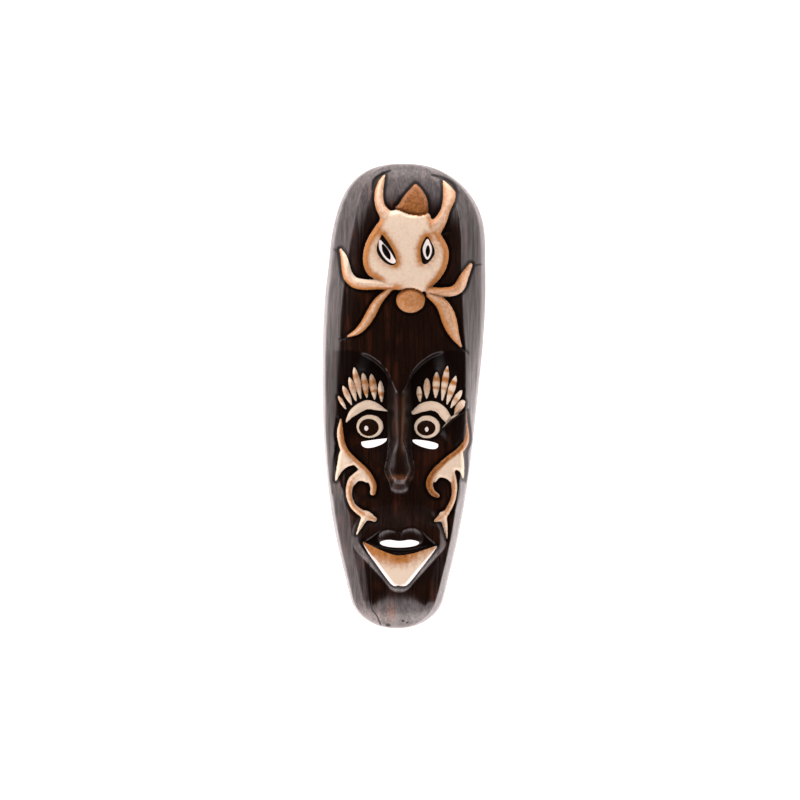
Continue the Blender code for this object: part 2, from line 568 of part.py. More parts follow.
def mask_mesh():
    """The whole solid: carved face, flat rim, hollow back, eye slits and mouth gap."""
    edge = outline()
    inner_m = inset(edge * (GRID_X, GRID_Y), RIM_WIDTH)
    inner = inner_m / (GRID_X, GRID_Y)
    holes = [eye_slit(*LEFT_SLIT), eye_slit(*RIGHT_SLIT), mouth_gap()]
    motifs = reliefs()
    lip_block = spline(LIP_BLOCK, 6.0, closed=True)
    sink = spline(MOUTH_SINK, 6.0, closed=True)
    upper_lips = [spline(lip, 4.0, closed=True) for lip in UPPER_LIPS]
    bull_eyes = [spline(eye, 6.0, closed=True) for eye in BULL_EYES]

    def front(x, y):
        return face_height(x, y, motifs, (lip_block, sink, upper_lips), bull_eyes)

    centre = (edge.min(0) + edge.max(0)) / 2
    rings = [centre + (edge - centre) * share for share in EDGE_SHARES]
    lines = [ringed(loop) for loop in [*rings[:2], lip_block, inset(lip_block, LIP_BEVEL), sink, *upper_lips,
                                       *bull_eyes]]
    spread = rings[2:]
    for loop, line, _, _ in motifs:
        lines += [ringed(loop), line]
    for eye in (LEFT_EYE, RIGHT_EYE):
        lines += [ringed(ellipse(*eye)), ringed(ellipse(*eye, share=IRIS_SHARE))]
        spread = spread + [ellipse(*eye, share=0.45, points=8)]
    nose_y = np.array(NOSE_LEVELS, float)
    brow_x = np.arange(9.0, 47.0, 4.0)
    brow = curve_value(BROW_EDGE, brow_x)
    side_y = np.arange(-200.0, 200.0, 14.0)
    for side, starts in zip((-1, 1), SIDE_STARTS):
        lines += [np.stack([side * brow_x, brow - drop], 1) for drop in (0.0, BROW_DROP)]
        wing = curve_value(NOSE_HALF_WIDTHS, nose_y)
        lines += [np.stack([side * wing * share - 0.3, nose_y], 1) for share in (0.55, 1.0)]
        plane = curve_value(MIDDLES, side_y) + side * half_width(side_y) * curve_value(starts, side_y)
        spread = spread + [np.stack([plane, side_y], 1)]
    lines += [np.stack([nose_y * 0 - 0.3, nose_y], 1), np.array(crease_line())]
    lines = [part for line in lines for part in stretches(line, edge, holes, CLEAR_ON_FACE)]
    spread = [part for line in spread for part in stretches(line, edge, holes, CLEAR_ON_FACE)]
    fill = np.concatenate([fill_points(edge, holes, lines + holes + spread, FILL_STEP)] + spread)
    places, faces = triangulate(edge, holes, lines, fill)
    heights = np.where(on_loops(places, [edge]), 0, front(*places.T))

    steps = [inset(inner_m, HOLLOW_EDGE * share) / (GRID_X, GRID_Y) for share in HOLLOW_STEPS]
    steps = [part for step in steps for part in stretches(ringed(step), inner, holes, CLEAR_INSIDE)]
    hollow_fill = fill_points(inner, holes, steps + holes, HOLLOW_FILL_STEP)
    hollow, hollow_faces = triangulate(inner, holes, steps, hollow_fill)
    hollow_heights = np.where(on_loops(hollow, [inner]), 0, hollow_height(*hollow.T, inner_m))
    rim, rim_faces = triangulate(edge, [inner], [], [])

    bm = bmesh.new()
    add_surface(bm, places, heights, faces, upwards=True)
    add_surface(bm, hollow, hollow_heights, hollow_faces, upwards=False)
    add_surface(bm, rim, np.zeros(len(rim)), rim_faces, upwards=False)
    for hole in holes:
        add_hole_wall(bm, hole, front(*hole.T), hollow_height(*hole.T, inner_m))
    bmesh.ops.remove_doubles(bm, verts=bm.verts, dist=1e-6)
    bmesh.ops.translate(bm, verts=bm.verts, vec=(-centre[0] * GRID_X, -centre[1] * GRID_Y, 0))
    mesh = bpy.data.meshes.new("mask")
    bm.to_mesh(mesh)
    bm.free()
    return mesh


def stained_wood():
    """Dark stained wood under a clear varnish."""
    material = bpy.data.materials.new("stained_wood")
    material.use_nodes = True
    shader = material.node_tree.nodes["Principled BSDF"]
    shader.inputs["Base Color"].default_value = (0.022, 0.010, 0.006, 1)
    shader.inputs["Roughness"].default_value = 0.32
    shader.inputs["Metallic"].default_value = 0.0
    return material


def build():
    """Clears the file and makes the mask."""
    for old in list(bpy.data.objects):
        bpy.data.objects.remove(old, do_unlink=True)
    mesh = mask_mesh()
    mesh.materials.append(stained_wood())
    mesh.shade_smooth()
    mesh.set_sharp_from_angle(angle=math.radians(35))
    mask = bpy.data.objects.new("mask", mesh)
    bpy.context.collection.objects.link(mask)


build()
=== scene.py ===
"""Looks of a wooden wall mask: the carved and painted face, the hollow back and the stage.

The mask lies on its back rim, +Z out of the face and +Y towards the crown. Its carving is laid out on a
drawing grid whose x = 0 is the nose and whose y = 0 is mid-length, 465 squares long. One square is
about 1.08 mm. Depths are metres.
"""

import math
from functools import partial

import bmesh
import bpy
import numpy as np
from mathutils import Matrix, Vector


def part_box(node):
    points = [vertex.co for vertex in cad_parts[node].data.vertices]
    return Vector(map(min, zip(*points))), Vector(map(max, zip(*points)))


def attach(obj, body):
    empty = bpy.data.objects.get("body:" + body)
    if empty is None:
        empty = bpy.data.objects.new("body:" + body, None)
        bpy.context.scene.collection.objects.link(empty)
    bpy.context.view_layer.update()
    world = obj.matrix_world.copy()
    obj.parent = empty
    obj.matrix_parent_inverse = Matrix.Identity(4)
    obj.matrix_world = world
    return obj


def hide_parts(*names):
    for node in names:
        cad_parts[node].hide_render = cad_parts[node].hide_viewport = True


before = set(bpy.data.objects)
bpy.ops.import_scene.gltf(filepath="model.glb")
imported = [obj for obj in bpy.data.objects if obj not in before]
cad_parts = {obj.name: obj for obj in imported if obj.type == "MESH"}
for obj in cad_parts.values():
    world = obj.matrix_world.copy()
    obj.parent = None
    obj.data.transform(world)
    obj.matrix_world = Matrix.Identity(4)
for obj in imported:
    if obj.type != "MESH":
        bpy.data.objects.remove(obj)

bl_info = {
    "name": "Wooden wall mask",
    "version": (1, 0, 0),
    "blender": (4, 5, 0),
    "location": "View3D > Sidebar > Wall Mask",
    "description": "Carves and paints a long wooden wall mask",
    "category": "Add Mesh",
}

LOW, HIGH = (np.array(corner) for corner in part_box("mask"))
MM = 0.001
CAMERA_HEIGHT = 30.0
VIEW_WIDTH = 0.860
VIEW_CENTRE = (-0.0043, -0.0043)
FLOOR_HALF = 4.0
FLOOR_DROP = 0.3 * MM
LAMPS = (("crown_lamp", (-0.3, 1.4, 1.2), 3.7), ("chin_lamp", (0.2, -1.4, 1.2), 2.8))
LAMP_SIZE = (1.8, 0.8)

# The drawing grid
GRID_LENGTH = 465.0
GRID_WIDTH = 164.0
CROWN = GRID_LENGTH / 2
CHIN = -GRID_LENGTH / 2

# Outline: half width and middle of the log at heights on the grid, with its two rounded ends
HALF_WIDTHS = [(-232, 39), (-182, 51.5), (-134, 62.5), (-98, 68.5), (-50, 74), (-2, 77.5),
               (46, 80), (94, 80.5), (142, 78), (233, 76)]
MIDDLES = [(-232, -3), (-98, -2.5), (-2, 0), (46, 2.5), (94, 5), (142, 7.5), (185, 8.5), (233, 3)]
CROWN_ROUND = (91.0, 2.4)
CHIN_ROUND = (30.0, 2.2)

# Profile: share of the log's depth along its length, and how the two ends turn down to the back
DEPTH_SHARES = [(-232, 0.86), (-190, 0.90), (-140, 0.94), (-80, 0.95), (0, 1.0), (60, 1.05),
                (130, 1.02), (185, 0.96), (233, 0.90)]
CROWN_TURN = (72.0, 2.0)
CHIN_TURN = (46.0, 1.95)
CHIN_SIDES = (18.0, 6.0, 24.0)
SECTION_POWER = 3.0
SECTION_FACETS = [(0, 1), (0.60, 0.985), (0.76, 0.91), (0.955, 0.37), (1, 0)]
FACET_SHARE = 0.7

# Side planes, left then right: share of the half width where they start, and how much their foot stands out
SIDE_SHARE = 0.76
FOOT_PLACE = 0.81
SIDE_STARTS = [[(-232, 0.72), (-160, 0.75), (-104, 0.75), (-80, 0.86), (-34, 0.84), (10, 0.80), (96, 0.78),
                (160, 0.74), (232, 0.74)],
               [(-232, 0.80), (-190, 0.86), (-104, 0.88), (-34, 0.87), (20, 0.82), (96, 0.71), (160, 0.68),
                (232, 0.72)]]
SIDE_FOOT = [[(-232, 0.14), (-140, 0.20), (-44, 0.26), (20, 0.20), (70, 0.05), (110, 0.0), (232, 0.0)],
             [(-232, 0.10), (-180, 0.0), (232, 0.0)]]

# Brow: height of the brow's lower edge by distance from the nose
BROW_EDGE = [(0, 4), (6, 9), (9, 16), (12, 23), (18, 31), (25, 37), (31, 41), (38, 44), (44, 45.5), (60, 46),
             (95, 43)]
BROW_DROP = 3.2
SOCKET_FADE = (-20.0, 55.0)
SOCKET_SIDE = (27.0, 18.0, 18.0, 42.0)
BRIDGE_DENT = ((0.0, 33.0), (13.5, 9.5), 0.0006)

# Nose: half width and share of its rise down the ridge, root to lip
NOSE_HALF_WIDTHS = [(-98, 8.2), (-94, 8.8), (-85, 10.4), (-80, 13), (-74, 15), (-66, 13.6), (-58, 12),
                    (-50, 11.6), (-40, 12.5), (-20, 13.5), (16, 12), (34, 8)]
NOSE_SHARES = [(-98, 0.0), (-95, 0.12), (-86.5, 0.84), (-84, 0.97), (-76, 0.95), (-60, 0.78), (-30, 0.42),
               (0, 0.12), (24, 0.0), (34, 0.0)]
NOSE_POWER = 2.6
NOSE_CHANGE = (-42.0, 16.0)
NOSTRIL_CUTS = [((-13.5, -64.0), (4.0, 3.5)), ((13.0, -64.0), (4.0, 3.5))]
PHILTRUM = ((-1.5, -103.5), (2.2, 5.0), 0.0008)

# Muzzle: the low mound under the mouth and lips
MUZZLE_CENTRE = (0.0, -150.0)
MUZZLE_RADII = (52.0, 48.0)

# Cheek facet: a flat cut whose crease runs between two points, then a cream line painted along the
# crease as a painted highlight: its middle line and widths
FACET_LINE = ((40.0, -35.0), (64.5, -15.5))
CREASE_BOW = 2.4
FACET_FADE = 26.0
CREASE_HIGHLIGHT_PAINT = ([(42, -32), (46.5, -27), (50, -23.2), (54, -20), (58.5, -17.8)], [0.3, 0.8, 1.5, 1.6, 0.6])

# Eyes: centre and radii of the rings, irises and dots, then centre, slope and upper share of the slits
EYES = [((-30.1, -30.3), (13.3, 11.4)), ((27.1, -30.9), (12.8, 11.2))]
IRISES = [((-31.1, -31.4), (9.9, 8.7)), ((26.2, -32.0), (9.3, 7.6))]
EYE_DOTS = [((-33.7, -32.2), (2.0, 2.5)), ((26.7, -33.3), (1.8, 2.5))]
LEFT_SLIT = ((-25.9, -44.2), 0.14, 0.06)
RIGHT_SLIT = ((25.4, -46.6), -0.19, 0.28)
SLIT_LEAN = 0.22
MOUTH_CENTRE = (-0.5, -146.6)

# The animal head. Bands are (middle line, widths, share of brown at the right edge, middle and left edge)
HEAD = [(-16, 180), (-10, 184), (0, 186), (10, 182), (27, 183), (31, 177), (36, 168), (43, 157.5),
        (47.8, 148), (48.4, 138), (46, 127.5), (40, 117.5), (33, 110.5), (28, 107), (20, 104), (10, 107),
        (-2, 106), (-12, 110), (-24, 116.5), (-31, 120.5), (-35.5, 128), (-37, 138), (-35, 150),
        (-30.5, 160), (-24, 170)]
SNOUT = ((10.6, 95.6), (14.3, 12.4))
CREST = [(15.4, 211.6), (19, 209), (23.5, 203.5), (27, 196), (28, 189), (27.3, 182.3), (19.7, 179.7),
         (7.6, 182.2), (-4.5, 187.2), (-1, 191.5), (4, 199.5), (10, 206.5)]
HORNS = [([(-16, 220.5), (-19.5, 211), (-21.2, 200), (-19.5, 189), (-14, 180)], [2, 6.5, 8.5, 9.5, 12],
          (0.9, 0.35, 0.75)),
         ([(44, 214.5), (48.5, 207), (49, 198), (45.5, 186), (40.5, 175), (34, 167)],
          [2.5, 11, 12, 9, 12, 16], (0.85, 0.45, 0.85))]
ARMS = [([(-59.3, 146), (-56, 138), (-54, 128), (-51.5, 119.5), (-45.5, 113.5), (-36, 111.3),
          (-22, 111), (-8, 110)], [2.5, 6.5, 8.5, 10, 10.5, 10.5, 9, 7], (1.3, 0.35, -0.1)),
        ([(29, 105), (42, 104), (53, 104.7), (59.5, 109.5), (64.5, 120), (70.5, 131)],
         [7, 8.5, 9.5, 10.5, 8, 3.5], (0.6, 0.7, 1.15))]
LEGS = [([(-10, 106.5), (-21.5, 95), (-28, 84), (-34.5, 73), (-42.5, 64.5), (-53.5, 59)],
         [4, 8, 9.5, 8.5, 6, 1], (1.15, 0.55, 1.15)),
        ([(29, 100.5), (40, 93.5), (46, 84.5), (50, 73), (54.5, 61), (61.7, 48)],
         [5, 11, 14, 14, 9, 1], (1.3, 0.6, 0.85))]
BULL_EYES = [[(-18, 161.3), (-14, 156.5), (-9, 149), (-5, 141), (-3.5, 133.5), (-7, 130.4), (-13, 132),
              (-19, 137), (-23.2, 144.5), (-22.5, 152), (-20, 157)],
             [(27, 159.5), (31, 154), (34, 148), (34.6, 142), (31, 136), (26.5, 131.8), (22.7, 132.2),
              (21, 138), (20.3, 146), (22.5, 153)]]
BULL_WHITES = [[(-20.5, 156), (-15.5, 151.5), (-10.5, 145.5), (-6.5, 139), (-4, 134.5), (-6.5, 132.2),
                (-12, 134.5), (-17.5, 140.5), (-20.8, 147.5)],
               [(27.5, 157), (30, 152.5), (31.8, 147.5), (31, 141), (27.5, 136), (24.4, 139.5), (22.7, 145.5),
                (24, 151.5)]]
BULL_PUPILS = [[(-18, 152), (-13.5, 148), (-9.8, 142), (-9.5, 136), (-13, 138), (-16.5, 142.5), (-18, 147)],
               [(28, 151), (29.9, 147), (29.7, 142.5), (27.5, 138.3), (25.8, 141.5), (25.7, 146.5)]]

# Brow bands, lashes, scrolls and leaves of the face
BROWS = [([(-53.5, -25.5), (-50, -20), (-45, -15), (-38, -10.5), (-31.5, -8.6), (-24, -10.5), (-13, -15)],
          [1.5, 5, 8, 8.8, 8.8, 7, 0.8], (0.1, 0.0, 0.1)),
         ([(13.5, -16.5), (22.5, -11.5), (32, -9.8), (40, -13), (45.5, -20), (49.5, -26)],
          [4, 8.5, 9, 9, 9, 5], (0.15, 0.1, 0.1))]
LASHES = [((-61.6, 0), (-54, -13), 3.8, [(0.3, 0.3, 0.6)]),
          ((-57, 10), (-48.4, -8.6), 5.4, [(0.35, 0.25, 0.65)]),
          ((-50.7, 18.7), (-44, -5), 5.6, [(0.42, 0.25, 0.65)]),
          ((-46, 28.7), (-39.2, -2.3), 6, [(0.28, 0.12, 0.75), (0.6, 0.25, 0.5)]),
          ((-37, 23.3), (-33, -1.7), 6.2, [(0.36, 0.13, 0.85), (0.80, 0.12, 0.9), (0.58, 0.15, 0.5)]),
          ((-28.6, 21.8), (-25.2, -3), 7, [(0.30, 0.15, 0.8), (0.68, 0.06, 0.85), (0.5, 0.2, 0.45)]),
          ((-19.7, 15.2), (-18.3, -5.7), 5.6, [(0.64, 0.13, 1.05)]),
          ((18.7, 9.8), (20, -5.7), 5, [(0.55, 0.07, 0.9), (0.85, 0.12, 0.5)]),
          ((27, 17.8), (26.7, -2.3), 6.3, [(0.4, 0.4, 0.55)]),
          ((36.7, 24), (35.6, -1.4), 6.8, [(0.27, 0.14, 1.0), (0.62, 0.07, 0.95)]),
          ((47.4, 30), (42.2, -4), 6.4, [(0.13, 0.06, 1.1), (0.40, 0.10, 1.2), (0.66, 0.05, 0.8)]),
          ((55.7, 20), (47, -8), 6.6, [(0.25, 0.08, 1.35), (0.60, 0.10, 0.8)]),
          ((61.7, 5.7), (50.8, -11.5), 5.6, [(0.55, 0.12, 0.75)]),
          ((63.7, -4.5), (55, -18), 7.4, [(0.7, 0.4, 0.6)])]
SCROLLS = [([(-59, -23.5), (-59.7, -35), (-58.5, -46), (-54.5, -55.5), (-47.5, -63), (-40.5, -69.5),
             (-33.5, -76.5), (-28.5, -84.5), (-26.4, -91), (-27.2, -96.8)],
            [1.5, 5.6, 6.4, 6.4, 6, 6, 6.2, 6.4, 6.2, 5], (0.15, 0.9, 1.1)),
           ([(-38, -76.5), (-46, -82.5), (-50.2, -90), (-50.7, -100), (-47, -109.5), (-40.5, -115.5),
             (-33.5, -119.5), (-25.5, -123.2)],
            [4, 7, 6.5, 5.5, 5.6, 6.2, 7, 4.6], (0.4, 0.85, 0.55)),
           ([(-33, -119), (-28.3, -118.4)], [5, 1], (0.1, 0.2, 0.1)),
           ([(-33.5, -119), (-38, -127), (-43.2, -138)], [7, 4.6, 0.8], (0.1, 0.3, 0.1)),
           ([(66.3, -15), (66.7, -26), (67.4, -36), (66.5, -43.5), (63.5, -50), (57, -56.5), (49, -62.5),
             (41, -69.5), (34, -77), (29.8, -84.5), (30, -91.5), (33, -96.8), (37.4, -99.6)],
            [0.5, 1.0, 2.6, 4.6, 6, 6, 6, 6.2, 6.4, 6.6, 6.4, 5.4, 4], (1.35, 1.5, 0.6)),
           ([(52, -75), (53.8, -86), (54.3, -95.6), (52.3, -105), (47, -115.5), (41, -121.5), (35, -124.5)],
            [3.5, 5.6, 5, 4.6, 5.2, 6, 2], (0.9, 0.8, 0.4)),
           ([(42.5, -119), (45, -129), (47, -142)], [6.5, 4.6, 0.8], (0.3, 0.4, 0.2))]
LEAVES = [[(-59.4, -55), (-62.3, -66), (-64.5, -84.6), (-58.9, -76.4), (-53.8, -71.3), (-46.5, -67.6),
           (-52, -60)],
          [(-39.3, -73.4), (-32.5, -78), (-32.6, -86), (-37.5, -84.6), (-42, -85), (-46, -88), (-51, -85),
           (-47.5, -79.5)],
          [(62, -56), (64, -69), (63.3, -82.6), (59.7, -75.5), (54.5, -74.5), (53.5, -84), (50.5, -85.6),
           (46, -82.3), (40, -81.3), (34.5, -86), (36, -77), (45, -67), (55, -58.5)]]

# Loose strokes of the knife past the horns, limbs and scrolls, then cracks and pits in the chin; all are
# also darkened towards black as painted shade
HORN_CUTS = [([(-9.5, 225.5), (-17, 221.5), (-25, 215.5), (-27.5, 206)], [0.8, 2.4, 3.4, 1.5]),
             ([(31.5, 221), (42, 218), (51, 211.5), (57.5, 203)], [0.8, 2.6, 3.4, 2]),
             ([(-53, 59.5), (-60, 56.5)], [1.5, 0.8]),
             ([(61.5, 48.5), (68, 43.5)], [1.8, 0.8]),
             ([(67.2, -14), (68.8, -28), (70.6, -44), (66.5, -56), (66.6, -72), (65.5, -86)],
              [1.2, 2.2, 2.4, 2.8, 2.8, 1]),
             ([(-62.5, -22), (-64.5, -38), (-62.5, -50), (-65.5, -64), (-66, -84)], [1, 2, 2.4, 2.2, 1])]
TIP_CUTS = [([(-66, 147), (-63, 145), (-60, 141.5)], [0.3, 1.0, 0.7]),
            ([(72, 129.5), (76.5, 131), (81, 131.5)], [1.0, 0.8, 0.3]),
            ([(-60, 57), (-56, 58.2), (-52, 60)], [0.3, 1.0, 0.8]),
            ([(61, 49), (65, 46), (68.5, 42)], [1.0, 1.1, 0.4]),
            ([(42, 161.5), (46, 164), (50, 165)], [0.9, 0.8, 0.3])]
CHIN_CRACKS = [([(-31, -165.5), (-30.2, -180), (-29.6, -200), (-28.5, -212)], [0.5, 0.7, 0.6, 0.7]),
               ([(-28.5, -212), (-23, -220), (-19.4, -228.5)], [0.7, 1.3, 1.7])]
PITS = [((3, -224.7), (1.6, 1.2)), ((7, -226.4), (1.3, 1.0)), ((-12, -229), (2.6, 1.6))]

# Mouth
LIP_BLOCK = [(-46.5, -150), (-47.5, -140), (-45.5, -128), (-30, -110), (0, -104), (30, -108),
             (43.5, -128), (45.5, -140), (45, -151), (34, -164), (16, -184), (8, -193), (0, -195.5),
             (-9, -193), (-19, -181), (-34, -165)]
LIP_BLOCK_FADE = (-142.0, 40.0)
LIP_BEVEL = 6.0
MOUTH_SINK = [(-36.5, -146.2), (-28, -140), (-20.7, -134.6), (-12, -131.8), (-4, -133.3), (-1, -136),
              (3, -132), (12, -130), (20, -132.8), (28, -141), (37, -149.7), (26.5, -153), (14, -157),
              (4, -158.9), (-5.4, -158.7), (-18, -154.5), (-31, -148.5)]
MOUTH_EDGE = 1.2
UPPER_LIPS = [[(-22, -142), (-19.5, -135.5), (-13, -131.6), (-6, -131.8), (-1.6, -135.6), (-1, -143),
               (-2, -149.5), (-10, -150.5), (-19, -148.5)],
              [(-0.8, -143), (-0.3, -135.4), (4, -131), (11, -129.4), (18, -131.6), (23, -138.5),
               (22, -147), (12, -150.5), (1, -149.5)]]
LOBE_EDGE = 9.0
LOWER_LIP = ([(-28, -148.5), (-20, -152), (-10, -154.6), (0, -155.6), (10, -154.8), (22, -152),
              (32, -150)], [1, 4, 5.5, 6, 5.5, 4, 1])
LOWER_LIP_EDGE = 3.0
LIP_PAINT = [(-37, -146.5), (-31, -148.5), (-18, -154.5), (-5.4, -158.7), (4, -158.9), (14, -157),
             (26.5, -153), (37, -150), (28, -161), (17, -174.5), (6, -188.5), (-2, -189), (-8, -187),
             (-23.5, -168)]
# White lines painted along the lip block's bevelled edges as painted highlights: middle lines and widths
LIP_EDGE_HIGHLIGHTS = [([(-37, -147), (-30, -158), (-22.5, -167), (-8, -186.5), (-2, -188.5)],
               [0.4, 1.6, 2.8, 2.8, 1.4]),
              ([(37, -150.5), (28.5, -161), (17.5, -174), (7, -187), (2, -188.5)],
               [0.4, 1.8, 3.2, 2.8, 1.4])]
LIP_LINE = (-146.5, 12.5, 37.0)

# Rubbed patches on the nose tip and chin: centre, radii and strength
WORN_PATCHES = [((-1, -81.5), (9, 2.4), 0.8), ((-9, -217), (4.5, 9), 0.7)]

# How finely the surfaces are drawn
ROWS = 470
COLUMNS = 176
RIM_RINGS = 2
HOLLOW_SHARES = (0.985, 0.95, 0.90, 0.83, 0.74, 0.63, 0.51, 0.38, 0.25, 0.12, 0.0)
SPINE_SHARE = 0.78
CURVE_STEP = 1.6
FAR = 12.0
JOIN_SOFTNESS = 0.9
GROOVE_REACH = 4.5
SHARP_ANGLE = 55.0
SMOOTH = {"interpolation_type": "SMOOTHSTEP"}


def linear(code):
    """sRGB hex code as linear colour: c / 12.92 up to 0.04045, else ((c + 0.055) / 1.055)^2.4."""
    shares = [int(code[i:i + 2], 16) / 255 for i in (1, 3, 5)]
    return [c / 12.92 if c <= 0.04045 else ((c + 0.055) / 1.055) ** 2.4 for c in shares]


def length_size(name, default, description):
    """Length property in metres."""
    return bpy.props.FloatProperty(name=name, description=description, default=default, min=0.0,
                                   unit="LENGTH", precision=5)


def colour_of(name, code, description):
    """Colour property with an sRGB hex default."""
    return bpy.props.FloatVectorProperty(name=name, description=description, default=linear(code),
                                         size=3, min=0.0, max=1.0, subtype="COLOR")


class WallMaskSizes(bpy.types.PropertyGroup):
    """Sizes of the mask and of its carving."""

    length: length_size("Length", float(HIGH[1] - LOW[1]), "Crown to chin")
    width: length_size("Width", 0.1763, "Across the widest part of the forehead")
    log_depth: length_size("Log depth", 0.060, "Back plane to the bare face between the brows")
    rim_width: length_size("Rim width", 0.013, "Flat rim round the hollow back")
    hollow_depth: length_size("Hollow depth", 0.036, "How deep the back is gouged out")
    hollow_edge: length_size("Hollow edge", 0.030, "Width of the hollow's rounded side")
    wall: length_size("Wall", 0.0105, "Least thickness left between the hollow and the face")
    socket_depth: length_size("Eye panel depth", 0.0095, "How far the eye panels are sunk under the brow")
    nose_rise: length_size("Nose rise", 0.014, "How far the nose tip stands up")
    muzzle_rise: length_size("Muzzle rise", 0.004, "Height of the mound round the mouth")
    lip_block_rise: length_size("Lip block rise", 0.0058, "Height of the block that the lips are cut in")
    lip_rise: length_size("Lip rise", 0.003, "Height of the two lobes of the upper lip")
    facet_rise: length_size("Cheek facet rise", 0.004, "Height of the crease over the right cheek")
    head_rise: length_size("Animal head rise", 0.0045, "How far the animal head stands up")
    limb_rise: length_size("Limb rise", 0.0038, "How far horns, arms and legs stand up")
    scroll_rise: length_size("Scroll rise", 0.0032, "How far the cheek scrolls stand up")
    lash_rise: length_size("Lash rise", 0.0024, "How far the lashes stand up")
    brow_rise: length_size("Brow band rise", 0.0028, "How far the bands over the eyes stand up")
    ring_rise: length_size("Eye ring rise", 0.0012, "How far the eye rings stand up")
    eye_rise: length_size("Eye rise", 0.0016, "Height of the domed irises")
    bull_eye_depth: length_size("Animal eye depth", 0.0014, "How deep the animal's eyes are cut")
    groove_depth: length_size("Groove depth", 0.0007, "Depth of the cut round every raised motif")
    eye_slit_width: length_size("Eye slit width", 0.0275, "Width of the slit under each eye")
    eye_slit_height: length_size("Eye slit height", 0.0078, "Height of the slit under each eye")
    mouth_width: length_size("Mouth width", 0.042, "Width of the gap between the lips")
    mouth_height: length_size("Mouth height", 0.0088, "Height of the gap between the lips")
    tool_mark: length_size("Tool marks", 0.00016, "Unevenness left by the chisel and scraper")

    @property
    def grid(self):
        """Metres in one square of the drawing grid, across and along."""
        return np.array((self.width / GRID_WIDTH, self.length / GRID_LENGTH))


class WallMaskColours(bpy.types.PropertyGroup):
    """Colours of the stain and of the paint."""

    # In the grooves this stain is darkened further with black as painted shade
    stain: colour_of("Stain", "#1d100a", "Darkest stain, in the grooves and between the streaks")
    red_streak: colour_of("Red streaks", "#4a2411", "Red-brown wood that shows through the stain")
    worn_wood: colour_of("Worn wood", "#75492a", "Bare wood where the stain is rubbed off")
    # Cream also draws the painted highlight along the right cheek's crease
    cream: colour_of("Cream paint", "#f1dfc4", "Main paint of the raised carving")
    brown: colour_of("Brown paint", "#b97b40", "Paint shaded into the cream")
    dark_brown: colour_of("Dark brown paint", "#76461d", "Deepest shade of the brown paint")
    # White also draws the painted highlights along the lip block's edges
    white: colour_of("White paint", "#fff8f0", "Eye dots, animal eyes and lip edges")
    # Black also stands for painted shade in the grooves, knife cuts, cracks, pits, sunk mouth and eye panels
    black: colour_of("Black paint", "#0b0604", "Lines and pupils of the animal's eyes")
    iris: colour_of("Iris", "#24140a", "Stained and polished irises")
    hollow_wood: colour_of("Hollow wood", "#3b2619", "Thin wash of stain on the gouged back")


def curve_value(stations, at):
    """Value at a place of the smooth curve through (place, value) stations.

    Between two stations it is a cubic whose end slopes are those of the lines through the neighbours.
    """
    places, values = np.array(stations, float).T
    slopes = np.gradient(values, places)
    at = np.clip(at, places[0], places[-1])
    i = np.clip(np.searchsorted(places, at) - 1, 0, len(places) - 2)
    span = places[i + 1] - places[i]
    t = (at - places[i]) / span
    rise = values[i + 1] - values[i]
    a = slopes[i] * span - rise
    b = rise - slopes[i + 1] * span
    return values[i] + t * rise + t * (1 - t) * ((1 - t) * a + t * b)


def ease(t):
    """0 below 0, 1 above 1 and 3t^2 - 2t^3 between."""
    t = np.clip(t, 0, 1)
    return t * t * (3 - 2 * t)


def round_end(t, power):
    """Quarter of a rounded square, (1 - (1 - t)^power)^(1 / power), flat at 1 from t = 1 on."""
    return (1 - (1 - np.clip(t, 0, 1)) ** power) ** (1 / power)


def half_width(y):
    """Half width of the outline at height y: the smooth sides times the two rounded ends."""
    crown = round_end((CROWN - y) / CROWN_ROUND[0], CROWN_ROUND[1])
    chin = round_end((y - CHIN) / CHIN_ROUND[0], CHIN_ROUND[1])
    return curve_value(HALF_WIDTHS, y) * crown * chin


def spline(points, closed=False):
    """Smooth curve through the points: on each span the cubic whose slope at a point is half the step
    from the point before it to the point after it."""
    points = np.array(points, float)
    if closed:
        ring = np.concatenate([points[-1:], points, points[:2]])
    else:
        ring = np.concatenate([2 * points[:1] - points[1:2], points, 2 * points[-1:] - points[-2:-1]])
    out = []
    for p0, p1, p2, p3 in zip(ring, ring[1:], ring[2:], ring[3:]):
        pieces = max(1, round(np.linalg.norm((p2 - p1)[:2]) / CURVE_STEP))
        t = np.arange(pieces)[:, None] / pieces
        out.append(0.5 * (2 * p1 + t * (p2 - p0) + t ** 2 * (2 * p0 - 5 * p1 + 4 * p2 - p3)
                          + t ** 3 * (3 * p1 - 3 * p2 + p3 - p0)))
    if not closed:
        out.append(points[-1:])
    return np.concatenate(out)


def ellipse_share(x, y, centre, radii):
    """0 at the centre of an ellipse and 1 on it: the root of (dx / a)^2 + (dy / b)^2."""
    return np.hypot((x - centre[0]) / radii[0], (y - centre[1]) / radii[1])


def ellipse_edge(x, y, centre, radii):
    """About the distance to an ellipse: (share - 1) times its mean radius, negative inside it."""
    return (ellipse_share(x, y, centre, radii) - 1) * (radii[0] + radii[1]) / 2


def signed_distance(x, y, loop, reach=FAR):
    """Distance from each point to a closed loop, negative inside it.

    It is the least distance to a side, signed by how many sides lie to the right of the point. Points
    further than reach from the loop's box are given reach.
    """
    low, high = loop.min(0) - reach, loop.max(0) + reach
    near = (x > low[0]) & (x < high[0]) & (y > low[1]) & (y < high[1])
    px, py = x[near], y[near]
    best = np.full(px.shape, np.inf)
    inside = np.zeros(px.shape, bool)
    for (ax, ay), (bx, by) in zip(loop, np.roll(loop, -1, 0)):
        dx, dy = bx - ax, by - ay
        t = np.clip(((px - ax) * dx + (py - ay) * dy) / (dx * dx + dy * dy + 1e-12), 0, 1)
        best = np.minimum(best, (px - ax - t * dx) ** 2 + (py - ay - t * dy) ** 2)
        if dy:
            inside ^= ((ay > py) != (by > py)) & (px < ax + dx * (py - ay) / dy)
    out = np.full(x.shape, float(reach))
    out[near] = np.where(inside, -1, 1) * np.sqrt(best)
    return out


